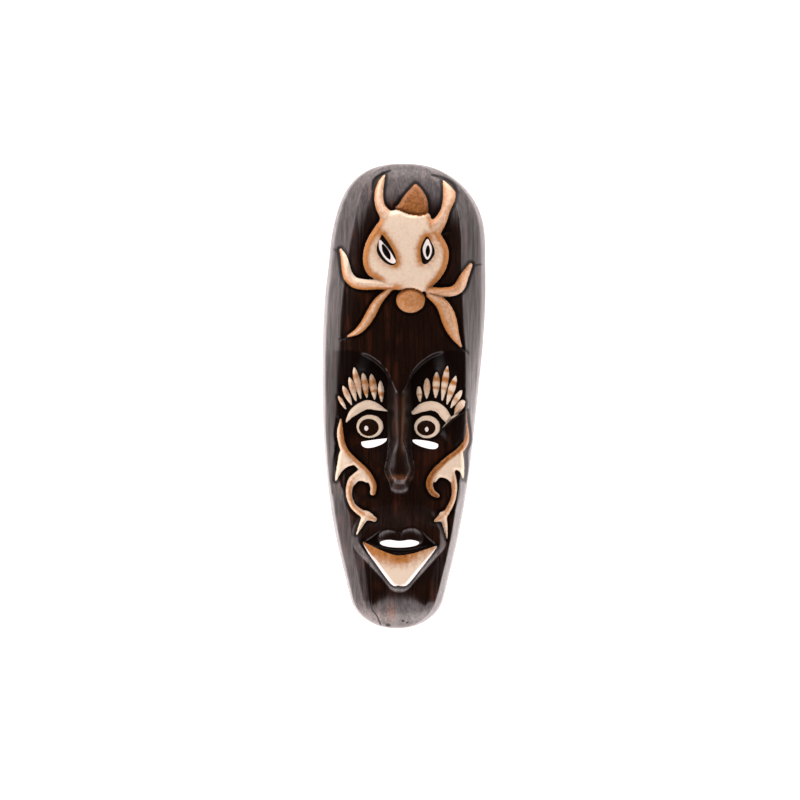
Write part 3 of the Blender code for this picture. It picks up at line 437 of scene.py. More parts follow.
def band_place(x, y, line, reach=FAR):
    """Signed distance to a band's edge, share along it, and side of its middle line from -1 to 1.

    The nearest piece of the middle line gives all three: distance less half width, run so far over the
    whole run, and distance over half width, positive on the left of the way along.
    """
    low, high = line[:, :2].min(0) - reach, line[:, :2].max(0) + reach
    near = (x > low[0]) & (x < high[0]) & (y > low[1]) & (y < high[1])
    px, py = x[near], y[near]
    steps = np.hypot(*np.diff(line[:, :2], axis=0).T)
    run = np.concatenate([[0], np.cumsum(steps)]) / steps.sum()
    best = np.full(px.shape, np.inf)
    along = np.zeros(px.shape)
    across = np.zeros(px.shape)
    for (ax, ay, aw), (bx, by, bw), a_run, b_run in zip(line, line[1:], run, run[1:]):
        dx, dy = bx - ax, by - ay
        t = np.clip(((px - ax) * dx + (py - ay) * dy) / (dx * dx + dy * dy), 0, 1)
        ox, oy = px - ax - t * dx, py - ay - t * dy
        far = np.hypot(ox, oy)
        half = np.maximum(aw + t * (bw - aw), 0.3) / 2
        closer = far - half < best
        best = np.where(closer, far - half, best)
        along = np.where(closer, a_run + t * (b_run - a_run), along)
        across = np.where(closer, np.sign(dx * oy - dy * ox) * far / half, across)
    out = [np.full(x.shape, float(reach)), np.zeros(x.shape), np.zeros(x.shape)]
    for whole, part in zip(out, (best, along, across)):
        whole[near] = part
    return out


def band_line(points, widths):
    """Smooth middle line of a band, with the width as its third column."""
    return spline(np.column_stack([points, widths]))


def band_distance(x, y, points, widths):
    """Signed distance to the edge of the smooth band through the points."""
    return band_place(x, y, band_line(points, widths))[0]


def loop_distance(x, y, points):
    """Signed distance to the smooth closed loop through the points."""
    return signed_distance(x, y, spline(points, closed=True))


def lash_line(tip, base, width):
    """Middle line and width of one lash: a petal, pointed at the tip and narrower still at its root."""
    t = np.array([0, 0.12, 0.3, 0.5, 0.75, 1.0])
    wide = np.array([0.1, 0.6, 0.95, 1.0, 0.72, 0.2]) * width
    return spline(np.column_stack([np.outer(1 - t, tip) + np.outer(t, base), wide]))


def eye_slit(sizes, centre, slope, above):
    """Loop of the crescent under an eye: x = w cos t, y = h |sin t|^0.8 (1 + lean cos t) + slope x."""
    turn = np.linspace(0, 2 * math.pi, 72, endpoint=False)
    x = np.cos(turn) * sizes.eye_slit_width / 2 / sizes.grid[0]
    bow = np.where(np.sin(turn) > 0, above, above - 1) * sizes.eye_slit_height / sizes.grid[1]
    lean = 1 + SLIT_LEAN * math.copysign(1, centre[0]) * np.cos(turn)
    return np.array(centre) + np.stack([x, np.abs(np.sin(turn)) ** 0.8 * lean * bow + slope * x], 1)


def mouth_gap(sizes):
    """Loop of the gap between the lips: |sin t| less a dip |sin t|^12 above, |sin t| below."""
    turn = np.linspace(0, 2 * math.pi, 96, endpoint=False)
    x = np.cos(turn) * sizes.mouth_width / 2 / sizes.grid[0]
    bow = np.abs(np.sin(turn))
    high = sizes.mouth_height / sizes.grid[1]
    y = np.where(np.sin(turn) > 0, (0.46 * bow - 0.24 * bow ** 12) * high, -0.58 * bow * high)
    return np.array(MOUTH_CENTRE) + np.stack([x, y], 1)


def openings(sizes):
    """Loops of the two eye slits and of the mouth gap."""
    return [eye_slit(sizes, *LEFT_SLIT), eye_slit(sizes, *RIGHT_SLIT), mouth_gap(sizes)]


def unevenness(x, y, length_x, length_y, seed):
    """Smooth unevenness, about -1 to 1: the sum of twelve sine waves over the root of twelve.

    Directions, paces and phases are drawn from the seed; the lengths are the usual wavelengths across
    and along the mask.
    """
    random = np.random.default_rng(seed)
    out = np.zeros(np.shape(x))
    for turn, pace, phase in random.uniform((0, 0.6, 0), (math.pi, 1.5, 2 * math.pi), (12, 3)):
        way = x * math.cos(turn) / length_x + y * math.sin(turn) / length_y
        out += np.sin(2 * math.pi * pace * way + phase)
    return out / math.sqrt(12)


def section_share(x, y):
    """How far out on the log: 0 on its middle line, 0.76 where its side plane starts, 1 on the outline."""
    off = x - curve_value(MIDDLES, y)
    share = np.minimum(np.abs(off) / np.maximum(half_width(y), 1e-6), 1)
    start = np.where(off < 0, curve_value(SIDE_STARTS[0], y), curve_value(SIDE_STARTS[1], y))
    outside = 1 - (1 - share) * (1 - SIDE_SHARE) / (1 - start)
    return np.where(share < start, share * SIDE_SHARE / start, outside)


def log_height(sizes, x, y):
    """Bare log: depth * share(y) * crown turn * chin turn * section(s), s across the outline from 0 to 1.

    The section is (1 - s^p)^(1/p), drawn part of the way to a polygon with the flats that a drawknife left.
    The polygon's foot stands out more on the left cheek, which is cut steeper below it.
    The chin's turn is longer in the middle than at its sides, which leaves a sloping facet under the lips.
    """
    share = section_share(x, y)
    out = np.clip((share - SIDE_SHARE) / (1 - SIDE_SHARE), 0, 1)
    foot = np.where(x < curve_value(MIDDLES, y), curve_value(SIDE_FOOT[0], y), curve_value(SIDE_FOOT[1], y))
    depth = sizes.log_depth * curve_value(DEPTH_SHARES, y)
    depth = depth * round_end((CROWN - y) / CROWN_TURN[0], CROWN_TURN[1])
    less, start, width = CHIN_SIDES
    chin_run = CHIN_TURN[0] - less * ease((np.abs(x + 2) - start) / width)
    depth = depth * round_end((y - CHIN) / chin_run, CHIN_TURN[1])
    flats = np.interp(share, *np.array(SECTION_FACETS, float).T)
    flats = flats + foot * np.minimum(out / FOOT_PLACE, (1 - out) / (1 - FOOT_PLACE))
    smooth = (1 - share ** SECTION_POWER) ** (1 / SECTION_POWER)
    return depth * (FACET_SHARE * flats + (1 - FACET_SHARE) * smooth)


def socket(sizes, x, y):
    """Depth taken off for the eye panels: a step under the brow that fades out over the cheeks.

    Outwards it fades from start over a width that grows from the brow's top down.
    """
    start, width, more, drop = SOCKET_SIDE
    step = ease((curve_value(BROW_EDGE, np.abs(x)) - y) / BROW_DROP)
    down = 1 - ease((SOCKET_FADE[0] - y) / SOCKET_FADE[1])
    side = 1 - ease((np.abs(x - curve_value(MIDDLES, y)) - start) / (width + more * ease((drop - y) / drop)))
    return sizes.socket_depth * step * down * side


def nose(sizes, x, y, sunk):
    """Lift of the nose above the sunk panels: lift(y) times a form of s, its share of the half width.

    The tip is a block with steep sides, 1 - s^2.6, and the bridge melts into the panels as ease(1 - s).
    """
    share = np.minimum(np.abs(x + 0.3) / curve_value(NOSE_HALF_WIDTHS, y), 1)
    inside = (y > NOSE_SHARES[0][0]) & (y < NOSE_SHARES[-1][0])
    lift = sizes.nose_rise * curve_value(NOSE_SHARES, y) + sunk
    block = ease((NOSE_CHANGE[0] - y) / NOSE_CHANGE[1])
    form = block * (1 - share ** NOSE_POWER) + (1 - block) * ease(1 - share)
    return np.where(inside, lift * form, 0)


def crease_place(x, y):
    """Distance below the bowed crease of the right cheek, run along its chord and the chord's length."""
    (ax, ay), (bx, by) = FACET_LINE
    length = math.hypot(bx - ax, by - ay)
    along = ((x - ax) * (bx - ax) + (y - ay) * (by - ay)) / length
    off = ((x - ax) * (by - ay) - (y - ay) * (bx - ax)) / length
    share = np.clip(along / length, 0, 1)
    return off + CREASE_BOW * 4 * share * (1 - share), along, length


def facet(sizes, x, y):
    """Flat cut below the crease on the right cheek: highest at the crease, fading away from it."""
    off, along, length = crease_place(x, y)
    ends = ease((along + 4) / 9) * ease((length + 7 - along) / 7)
    return sizes.facet_rise * ends * ease(off / 1.4) * np.clip(1 - off / FACET_FADE, 0, 1)


def side_shade(across, shades):
    """Share of brown across a band: straight between its right edge, middle and left edge."""
    return np.interp(across, (-0.9, -0.1, 0.1, 0.9), (shades[0], shades[1], shades[1], shades[2]))


def blot(x, y, centre, radii):
    """Soft round patch: e^(-s^2), s the share of the way to the ellipse."""
    return np.exp(-ellipse_share(x, y, centre, radii) ** 2)


def head_motif(x, y):
    """Distance to the animal head's edge and its shade: brown at the rims, round the eyes, by the snout."""
    off = loop_distance(x, y, HEAD)
    shade = 0.08 + 1.15 * np.exp(-((off + 2.4) / 3.6) ** 2) * ease((np.abs(x - 6) - 14) / 14)
    for loop, side in zip(BULL_EYES, (1, -1)):
        way = side * (x - np.mean(loop, 0)[0]) + 0.4 * (y - np.mean(loop, 0)[1])
        halo = np.exp(-(loop_distance(x, y, loop) / 5.0) ** 2)
        shade = shade + 1.1 * halo * (0.4 + 0.6 * ease((way + 4) / 8))
    return off, shade + 1.1 * blot(x, y, (-5, 108), (9, 4))


def joined(members):
    """One motif out of several that grow out of each other.

    With weights e^(-(d - least d) / k) its distance is least d - k log(sum of weights), and its shade is
    the weighed mean of theirs.
    """
    offs, shades = (np.array(values) for values in zip(*members))
    least = offs.min(0)
    weights = np.exp(-(offs - least) / JOIN_SOFTNESS)
    total = weights.sum(0)
    return least - JOIN_SOFTNESS * np.log(total), (weights * shades).sum(0) / total


def motifs(x, y):
    """Every raised motif: distance to its edge, share of brown, name of its rise, width of its round edge.

    The animal with its limbs is one motif and so are the scrolls and leaves of each cheek. The crease on
    the right cheek cuts off the brow band and the lashes that run into it.
    """
    def band(points, widths, shades):
        off, _, across = band_place(x, y, band_line(points, widths))
        return off, side_shade(across, shades)

    def leaf(points):
        return loop_distance(x, y, points), np.full(x.shape, 0.1)

    animal = joined([head_motif(x, y)] + [band(*limb) for limb in HORNS + ARMS + LEGS])
    found = [(*animal, "head_rise", 4.5)]
    for scrolls, leaves in ((SCROLLS[:4], LEAVES[:2]), (SCROLLS[4:], LEAVES[2:])):
        found.append((*joined([band(*scroll) for scroll in scrolls] + [leaf(loop) for loop in leaves]),
                      "scroll_rise", 3.2))
    off = loop_distance(x, y, CREST)
    found.append((off, 1.5 + 0.4 * ease((190 - y) / 5) * ease(1 + off / 4), "limb_rise", 4.0))
    off = ellipse_edge(x, y, *SNOUT)
    found.append((off, 0.95 + 0.85 * ease((y - 96) / 8) * ease(1 + off / 6), "head_rise", 8.0))

    below = crease_place(x, y)[0] + 0.4
    for points, widths, shades in BROWS:
        off, shade = band(points, widths, shades)
        found.append((np.maximum(off, below), shade, "brow_rise", 3.6))
    for tip, base, width, bands in LASHES:
        off, along, _ = band_place(x, y, lash_line(tip, base, width))
        shade = sum(strength * np.exp(-((along - at) / spread) ** 2) for at, spread, strength in bands)
        found.append((np.maximum(off, below), shade, "lash_rise", width / 2))
    return found


def carving(sizes, x, y):
    """Relief of the raised motifs and of the shallow cut round them.

    Inside a motif it is -g + (rise + g) sin(pi / 2 * depth inside / edge), the highest motif winning, and
    outside it is -g (1 - distance / reach), g the groove's depth. On the side planes the groove is a
    narrow and deep cut, up to 2.2 g over 0.6 of the reach.
    """
    side = ease((section_share(x, y) - 0.74) / 0.06)
    groove = sizes.groove_depth * (1 + 1.2 * side)
    raised = np.full(x.shape, -np.inf)
    cut = np.zeros(x.shape)
    for off, _, rise, edge in motifs(x, y):
        form = np.sin(np.clip(-off / edge, 0, 1) * math.pi / 2)
        high = -groove + (getattr(sizes, rise) + groove) * form
        raised = np.where(off < 0, np.maximum(raised, high), raised)
        cut = np.minimum(cut, -groove * np.clip(1 - off / (GROOVE_REACH * (1 - 0.4 * side)), 0, 1))
    return np.where(np.isfinite(raised), raised, cut)


def eyes(sizes, x, y):
    """Rings and domed irises: a step for the ring and rise * (1 - s^2) for the iris."""
    out = np.zeros(x.shape)
    for ring, iris in zip(EYES, IRISES):
        out += sizes.ring_rise * ease((1.03 - ellipse_share(x, y, *ring)) / 0.08)
        out += sizes.eye_rise * np.clip(1 - ellipse_share(x, y, *iris) ** 2, 0, 1)
    return out


def mouth(sizes, x, y):
    """Bevelled lip block, the sunk mouth in it, two round upper lobes and the lower lip's roll."""
    block = np.clip(-loop_distance(x, y, LIP_BLOCK) / LIP_BEVEL, 0, 1)
    start, run = LIP_BLOCK_FADE
    out = sizes.lip_block_rise * block * ease((start + run - y) / run)
    out -= 0.55 * sizes.lip_rise * np.clip(-loop_distance(x, y, MOUTH_SINK) / MOUTH_EDGE, 0, 1)
    for lip in UPPER_LIPS:
        lobe = np.clip(-loop_distance(x, y, lip) / LOBE_EDGE, 0, 1)
        out += sizes.lip_rise * np.sin(lobe * math.pi / 2)
    roll = np.clip(-band_distance(x, y, *LOWER_LIP) / LOWER_LIP_EDGE, 0, 1)
    return out + 0.6 * sizes.lip_rise * np.sin(roll * math.pi / 2)


def small_cuts(sizes, x, y):
    """Cuts below the surface: the animal's eyes, loose strokes of the knife, cracks, pits and dents."""
    down = np.zeros(x.shape)
    for loop in BULL_EYES:
        down += sizes.bull_eye_depth * np.clip(-loop_distance(x, y, loop) / 3.5, 0, 1)
    for strokes, deep, slope in ((HORN_CUTS + TIP_CUTS, 2.0, 2.0), (CHIN_CRACKS, 0.8, 1.2)):
        for stroke in strokes:
            cut = np.clip(0.5 - band_distance(x, y, *stroke) / slope, 0, 1)
            down = np.maximum(down, deep * sizes.groove_depth * cut)
    for centre, radii in PITS:
        down = np.maximum(down, sizes.groove_depth * ease(1.5 * (1 - ellipse_share(x, y, centre, radii))))
    for centre, radii in NOSTRIL_CUTS:
        down += 0.7 * sizes.groove_depth * ease(1 - ellipse_share(x, y, centre, radii))
    for centre, radii, depth in (BRIDGE_DENT, PHILTRUM):
        down += depth * ease(1.3 * (1 - ellipse_share(x, y, centre, radii)))
    return down


def face_height(sizes, x, y):
    """Front surface above the back plane: log less panels and cuts, plus all that is raised, and marks."""
    sunk = socket(sizes, x, y)
    log = log_height(sizes, x, y)
    far = ellipse_share(x, y, MUZZLE_CENTRE, MUZZLE_RADII)
    z = log - sunk + nose(sizes, x, y, sunk) + sizes.muzzle_rise * np.clip(1 - far ** 2, 0, 1) ** 2
    z += facet(sizes, x, y) + eyes(sizes, x, y) + mouth(sizes, x, y) + carving(sizes, x, y)
    z -= small_cuts(sizes, x, y)
    share = np.abs(x - curve_value(MIDDLES, y)) / np.maximum(half_width(y), 1e-6)
    marks = unevenness(x, y, 4.5, 80.0, 11) * (0.2 + 0.8 * ease((share - 0.6) / 0.2))
    marks += 0.6 * unevenness(x, y, 26.0, 34.0, 12)
    return z + sizes.tool_mark * marks * ease(log / 0.012)


def hollow_height(sizes, x, y, inner):
    """Gouged back: depth * (1 - (1 - d)^2)^0.5 by the distance d from the rim, under a full wall."""
    off = -signed_distance(x * sizes.grid[0], y * sizes.grid[1], inner, reach=1.0)
    bowl = sizes.hollow_depth * np.sqrt(1 - (1 - np.clip(off / sizes.hollow_edge, 0, 1)) ** 2)
    roof = log_height(sizes, x, y) - socket(sizes, x, y) - sizes.wall
    gouge = 0.0005 * (np.abs(unevenness(x, y, 9.0, 45.0, 21)) - 0.7) * ease(off / 0.008)
    return np.maximum(np.minimum(bowl, roof) + gouge, 0)


def row_levels(sizes):
    """Heights of the grid's rows: equal steps along the mid profile, its steep ends weighed less."""
    y = CHIN + GRID_LENGTH * (1 - np.cos(np.linspace(0, math.pi, 6001))) / 2
    z = log_height(sizes, curve_value(MIDDLES, y), y) / sizes.grid[1]
    run = np.concatenate([[0], np.cumsum(np.hypot(np.diff(y), 0.45 * np.diff(z)))])
    return np.interp(np.linspace(0, run[-1], ROWS + 1), run, y)


def column_shares(sizes):
    """Shares of the half width, -1 to 1: equal steps along the section, its steep sides weighed less."""
    turn = np.linspace(0, math.pi / 2, 3001)
    share = np.sin(turn) ** (2 / SECTION_POWER)
    rise = np.cos(turn) ** (2 / SECTION_POWER)
    weight = 1 - 0.55 * ease((share[1:] - 0.84) / 0.1)
    step = np.hypot(80 * np.diff(share), 0.8 * sizes.log_depth / sizes.grid[0] * np.diff(rise))
    run = np.concatenate([[0], np.cumsum(step * weight)])
    half = np.interp(np.linspace(0, run[-1], COLUMNS // 2 + 1), run, share)
    return np.concatenate([-half[:0:-1], half])


def outline_inset(points, distance):
    """Points of a closed loop moved inwards, square to the line between their neighbours."""
    way = np.roll(points, -1, 0) - np.roll(points, 1, 0)
    way /= np.linalg.norm(way, axis=1)[:, None]
    return points + np.stack([-way[:, 1], way[:, 0]], 1) * distance


def mask_skin(sizes):
    """Vertices and faces of the closed mask before its openings are cut.

    The face is a grid of rows and columns over the outline. The back is rings that run in from the same
    outline: over the flat rim at equal insets, then towards a middle line at shares of the way.
    """
    y, share = np.meshgrid(row_levels(sizes), column_shares(sizes), indexing="ij")
    x = curve_value(MIDDLES, y) + half_width(y) * share
    z = np.maximum(face_height(sizes, x, y), 2e-5)
    z[0] = z[-1] = z[:, 0] = z[:, -1] = 0
    index = np.arange(x.size).reshape(x.shape)
    faces = [np.stack([index[:-1, :-1], index[:-1, 1:], index[1:, 1:], index[1:, :-1]], -1).reshape(-1, 4)]
    points = [np.stack([x * sizes.grid[0], y * sizes.grid[1], z], -1).reshape(-1, 3)]

    border = np.concatenate([index[:, -1], index[-2:0:-1, 0]])
    edge = points[0][border, :2]
    insets = [outline_inset(edge, sizes.rim_width * (k + 1) / RIM_RINGS) for k in range(RIM_RINGS)]
    inner = insets[-1]
    spine_y = edge[:, 1] * SPINE_SHARE
    spine = np.stack([curve_value(MIDDLES, spine_y / sizes.grid[1]) * sizes.grid[0], spine_y], 1)
    outer_ids = border
    for k, flat in enumerate(insets + [spine + (inner - spine) * part for part in HOLLOW_SHARES]):
        height = np.zeros(len(flat))
        if k >= RIM_RINGS:
            gx, gy = (flat / sizes.grid).T
            height = hollow_height(sizes, gx, gy, inner[::4])
        ids = sum(map(len, points)) + np.arange(len(flat))
        points.append(np.column_stack([flat, height]))
        faces.append(np.stack([outer_ids, ids, np.roll(ids, -1), np.roll(outer_ids, -1)], 1))
        outer_ids = ids
    middle = (edge.min(0) + edge.max(0)) / 2
    points = np.concatenate(points)
    points[:, :2] -= middle
    return points, np.concatenate(faces), middle / sizes.grid


def opening_prisms(sizes, middle):
    """Vertices and faces of a straight prism over each opening's loop, from under the hollow to above."""
    points, faces = [], []
    for loop in openings(sizes):
        flat = (loop - middle) * sizes.grid
        low = len(points) + np.arange(len(loop))
        high = low + len(loop)
        for height in (-0.01, 0.12):
            points += np.column_stack([flat, np.full(len(loop), height)]).tolist()
        faces += np.stack([low, np.roll(low, -1), np.roll(high, -1), high], 1).tolist()
        faces += [low[::-1].tolist(), high.tolist()]
    return points, faces


def mesh_object(name, points, faces):
    """New object with these vertices and faces, doubles merged, in the scene."""
    mesh = bpy.data.meshes.new(name)
    mesh.from_pydata(points, [], faces)
    bm = bmesh.new()
    bm.from_mesh(mesh)
    bmesh.ops.remove_doubles(bm, verts=bm.verts, dist=2e-7)
    bm.to_mesh(mesh)
    bm.free()
    piece = bpy.data.objects.new(name, mesh)
    bpy.context.collection.objects.link(piece)
    return piece


def cut_through(piece, cutter):
    """Takes the cutter's solid off the piece for good, then deletes the cutter."""
    cut = piece.modifiers.new("openings", "BOOLEAN")
    cut.operation = "DIFFERENCE"
    cut.solver = "MANIFOLD"
    cut.object = cutter
    mesh = bpy.data.meshes.new_from_object(piece.evaluated_get(bpy.context.evaluated_depsgraph_get()))
    if len(mesh.polygons) <= len(piece.data.polygons) // 2:
        raise RuntimeError("the openings were not cut")
    piece.modifiers.clear()
    piece.data = mesh
    mesh.name = piece.name
    bpy.data.objects.remove(cutter, do_unlink=True)


def paint_fields(x, y):
    """Where each colour lies: distances on the grid to paint edges, shares of brown, wear and painted shade.

    Every painted motif is laid over the ones before it. A point takes the shade of the last motif that
    it is inside, or of the nearest one where it is outside all.
    """
    edge = np.full(x.shape, FAR)
    brown = np.zeros(x.shape)

    def lay(off, shade):
        nonlocal edge, brown
        brown = np.where((off < 0) | (off < edge), shade, brown)
        edge = np.minimum(edge, off)

    for off, shade, _, _ in motifs(x, y):
        lay(off, shade)
    # Painted highlight: a thin cream line along the crease of the right cheek
    lay(band_distance(x, y, *CREASE_HIGHLIGHT_PAINT), 0.1)
    for ring in EYES:
        off = ellipse_edge(x, y, *ring)
        lay(off, 0.25 * ease((x - ring[0][0] + y - ring[0][1]) / 14) * ease(1 + off / 2.5))
    ends, bow, half = LIP_LINE
    below = ends - bow * (1 - ((x + 0.5) / half) ** 2) - y
    mottle = 0.10 * unevenness(x, y, 7.0, 16.0, 31)
    shade = 1.15 + mottle - 1.3 * np.clip((below + 0.1 * (x + 10)) / 20, 0, 1)
    shade = shade + 0.6 * blot(x, y, (1, -163), (9, 4))
    lay(loop_distance(x, y, LIP_PAINT), shade)

    white = [np.maximum(loop_distance(x, y, almond), -loop_distance(x, y, pupil))
             for almond, pupil in zip(BULL_WHITES, BULL_PUPILS)]
    white += [ellipse_edge(x, y, *dot) for dot in EYE_DOTS]
    # Painted highlights: white lines along the lip block's bevelled edges
    white += [band_distance(x, y, *edging) for edging in LIP_EDGE_HIGHLIGHTS]
    black = [loop_distance(x, y, loop) for loop in BULL_EYES]
    # Painted shade: the knife cuts, the chin's cracks and its pits are painted black
    black += [band_distance(x, y, *stroke) for stroke in HORN_CUTS + CHIN_CRACKS]
    black += [ellipse_edge(x, y, *pit) for pit in PITS]
    iris = [ellipse_edge(x, y, *ring) for ring in IRISES]
    worn = 0.32 * np.exp(-((x - 2) / 2.4) ** 2) * ease((y + 66) / 20) * ease((4 - y) / 10)
    worn += sum(strength * blot(x, y, centre, radii) for centre, radii, strength in WORN_PATCHES)
    # Painted shade: black in the grooves round the painted motifs, in the knife cuts, in the sunk mouth
    # beside the lobes and over the eye panels under the brow
    black_shade = np.min([-loop_distance(x, y, MOUTH_SINK)] + [loop_distance(x, y, lip) for lip in UPPER_LIPS], 0)
    panel = ease((curve_value(BROW_EDGE, np.abs(x)) + 1 - y) / 3) * ease((y + 75) / 50)
    panel *= ease((72 - np.abs(x)) / 14) * ease((np.abs(x) - 4) / 5)
    cuts = np.min([band_distance(x, y, *stroke) for stroke in HORN_CUTS + TIP_CUTS], 0)
    dark = [ease((4.4 - edge) / 2.4), ease(0.9 - cuts / 1.5), ease(black_shade / 1.5), 0.85 * panel]
    return {"paint_edge": edge, "brown_share": brown, "white_edge": np.min(white, 0),
            "black_paint_and_shade_edge": np.min(black, 0), "iris_edge": np.min(iris, 0), "worn_share": worn,
            "painted_shade_share": np.max(dark, 0)}


def vectors_of(items, name):
    """Places of a mesh's points, or normals of its faces, one row each."""
    values = np.empty(len(items) * 3, np.float32)
    items.foreach_get(name, values)
    return values.reshape(-1, 3)


def mark_paint(sizes, mesh, middle):
    """Writes the paint fields to the mesh's points, on the face only, and gives the back its own finish."""
    place = vectors_of(mesh.vertices, "co").astype(float)
    x, y = (place[:, :2] / sizes.grid + middle).T
    front = place[:, 2] > log_height(sizes, x, y) - socket(sizes, x, y) - 0.6 * sizes.wall
    for name, values in paint_fields(x, y).items():
        away = FAR if name.endswith("edge") else 0.0
        field = mesh.attributes.new(name, "FLOAT", "POINT")
        field.data.foreach_set("value", np.where(front, values, away).astype(np.float32))
    slots = (vectors_of(mesh.polygons, "normal")[:, 2] < -0.02).astype(np.int32)
    mesh.polygons.foreach_set("material_index", slots)


def fit_into_frame(mesh):
    """Scales each side that is longer than the frame's box to just inside it, about the origin."""
    place = vectors_of(mesh.vertices, "co")
    reach = np.where(np.arange(3) < 2, np.abs(place).max(0), place.max(0))
    room = np.minimum(HIGH, np.where(np.arange(3) < 2, -LOW, HIGH)) * 0.9995
    place *= np.minimum(1, room / reach).astype(np.float32)
    mesh.vertices.foreach_set("co", place.ravel())
    mesh.update()


def add_node(tree, kind, inputs=(), output=0, **settings):
    """Adds a shader node with its settings and gives one of its outputs.

    Inputs come in order, or by name or number. Each is linked to a socket or set to a value.
    """
    node = tree.nodes.new("ShaderNode" + kind)
    for name, value in settings.items():
        setattr(node, name, value)
    for name, value in (inputs if isinstance(inputs, dict) else dict(enumerate(inputs))).items():
        if isinstance(value, bpy.types.NodeSocket):
            tree.links.new(value, node.inputs[name])
        else:
            colour = node.inputs[name].type == "RGBA"
            node.inputs[name].default_value = (*value, 1) if colour else value
    return node.outputs[output]


def link_up(tree, shader, sockets):
    """Links each named input of the shader to its socket."""
    for name, value in sockets.items():
        tree.links.new(value, shader.inputs[name])


def new_material(name, **shader_values):
    """Empty node material with a Principled shader that has these values. Gives material, tree and shader."""
    material = bpy.data.materials.new(name)
    material.use_nodes = True
    tree = material.node_tree
    shader = tree.nodes["Principled BSDF"]
    for socket_name, value in shader_values.items():
        shader.inputs[socket_name.replace("_", " ").title().replace("Ior", "IOR")].default_value = value
    return material, tree, shader


def painted_stained_wood(colours):
    """Carved softwood, stained nearly black, its relief painted by brush, all under clear varnish.

    The stain gives a deep brown with red streaks along the grain, the varnish a soft gloss in which the
    curved sides pick up the room, and the paint an opaque cream shaded with brown and worn at its edges.
    Painted shade turns the grooves, knife cuts, cracks, pits, sunk mouth and eye panels nearly black and
    takes their gloss off. White and cream lines on the lip block's edges and the cheek's crease are
    painted highlights.
    """
    material, tree, shader = new_material("painted_stained_wood", coat_roughness=0.2,
                                          specular_ior_level=0.1)
    add = partial(add_node, tree)
    place = add("TexCoord", output="Object")
    fibre_way = add("Mapping", {"Vector": place, "Scale": (1, 0.045, 0.4)})
    patterns = ((fibre_way, 1.5, 4), (fibre_way, 6.0, 4), (place, 28.0, 2), (place, 3.2, 5), (place, 3.0, 2))
    fibres, streaks, clouds, brush, wobble = (
        add("TexNoise", {"Vector": way, "Scale": 1 / (size * MM), "Detail": detail})
        for way, size, detail in patterns)
    dark, bare, brown = (add("Attribute", output="Fac", attribute_name=name)
                         for name in ("painted_shade_share", "worn_share", "brown_share"))

    red = add("Math", (add("MapRange", (streaks, 0.40, 0.75, 0.0, 0.7), **SMOOTH),
                       add("MapRange", (clouds, 0.42, 0.66), **SMOOTH)), operation="MULTIPLY")
    pores = add("MapRange", (fibres, 0.30, 0.50, 0.5, 0.0), **SMOOTH)
    # Painted shade: grooves, knife cuts, the sunk mouth and the eye panels darken towards black; below they
    # also lose their varnish gloss
    black_shade = add("Math", (dark, 0.95), operation="MULTIPLY")
    worn = add("Math", (bare, add("MapRange", (fibres, 0.30, 0.62, 0.4, 1.0), **SMOOTH)),
               operation="MULTIPLY")
    shade = add("Math", (brush, 0.8, brown), operation="MULTIPLY_ADD")
    paint = colours.cream
    for low, high, laid in ((0.32, 1.55, colours.brown), (1.50, 2.10, colours.dark_brown)):
        share = add("MapRange", (shade, low, high), **SMOOTH)
        paint = add("Mix", {0: share, 6: paint, 7: laid}, 2, data_type="RGBA")
    covers = []
    for name, ragged in (("paint_edge", 0.8), ("iris_edge", 0.3), ("black_paint_and_shade_edge", 0.3), ("white_edge", 0.3)):
        edge = add("Attribute", output="Fac", attribute_name=name)
        edge = add("Math", (wobble, ragged, edge), operation="MULTIPLY_ADD")
        covers.append(add("MapRange", (edge, 0.55 * ragged + 0.28, 0.55 * ragged - 0.28), **SMOOTH))
    painted, iris, black, white = covers
    colour = colours.stain
    for share, laid in ((red, colours.red_streak), (pores, colours.black), (black_shade, colours.black),
                        (worn, colours.worn_wood), (painted, paint), (iris, colours.iris),
                        (black, colours.black), (white, colours.white)):
        colour = add("Mix", {0: share, 6: colour, 7: laid}, 2, data_type="RGBA")

    rough = add("MapRange", (streaks, 0.35, 0.65, 0.24, 0.34), **SMOOTH)
    polish = add("Math", (streaks, 0.45), operation="MULTIPLY")
    polish = add("Math", (fibres, 0.55, polish), operation="MULTIPLY_ADD")
    varnish = add("MapRange", (polish, 0.38, 0.62, 0.5, 1.0), **SMOOTH)
    for share, roughness, coat in ((dark, 0.32, 0.0), (painted, 0.5, 0.15), (iris, 0.2, 0.5),
                                   (black, 0.4, 0.0)):
        rough = add("Mix", {0: share, 2: rough, 3: roughness})
        varnish = add("Mix", {0: share, 2: varnish, 3: coat})
    relief = add("Math", (painted, 0.35), operation="MULTIPLY")
    relief = add("Math", (fibres, 0.5, relief), operation="MULTIPLY_ADD")
    bump = add("Bump", {"Height": relief, "Strength": 0.7, "Distance": 0.4 * MM})
    link_up(tree, shader, {"Base Color": colour, "Roughness": rough, "Coat Weight": varnish,
                           "Normal": bump, "Coat Normal": bump})
    return material


def gouged_back_wood(colours):
    """The same softwood inside: sawn rim and gouged hollow under a thin, dull wash of stain."""
    material, tree, shader = new_material("gouged_back_wood", roughness=0.7)
    add = partial(add_node, tree)
    place = add("TexCoord", output="Object")
    fibre_way = add("Mapping", {"Vector": place, "Scale": (1, 0.05, 0.4)})
    fibres = add("TexNoise", {"Vector": fibre_way, "Scale": 1 / (1.8 * MM), "Detail": 5})
    patches = add("TexNoise", {"Vector": place, "Scale": 1 / (25 * MM), "Detail": 3})
    colour = colours.stain
    for share, laid in ((add("MapRange", (fibres, 0.3, 0.7)), colours.hollow_wood),
                        (add("MapRange", (patches, 0.45, 0.75, 0.0, 0.5)), colours.worn_wood)):
        colour = add("Mix", {0: share, 6: colour, 7: laid}, 2, data_type="RGBA")
    bump = add("Bump", {"Height": fibres, "Strength": 0.6, "Distance": 0.5 * MM})
    link_up(tree, shader, {"Base Color": colour, "Normal": bump})
    return material


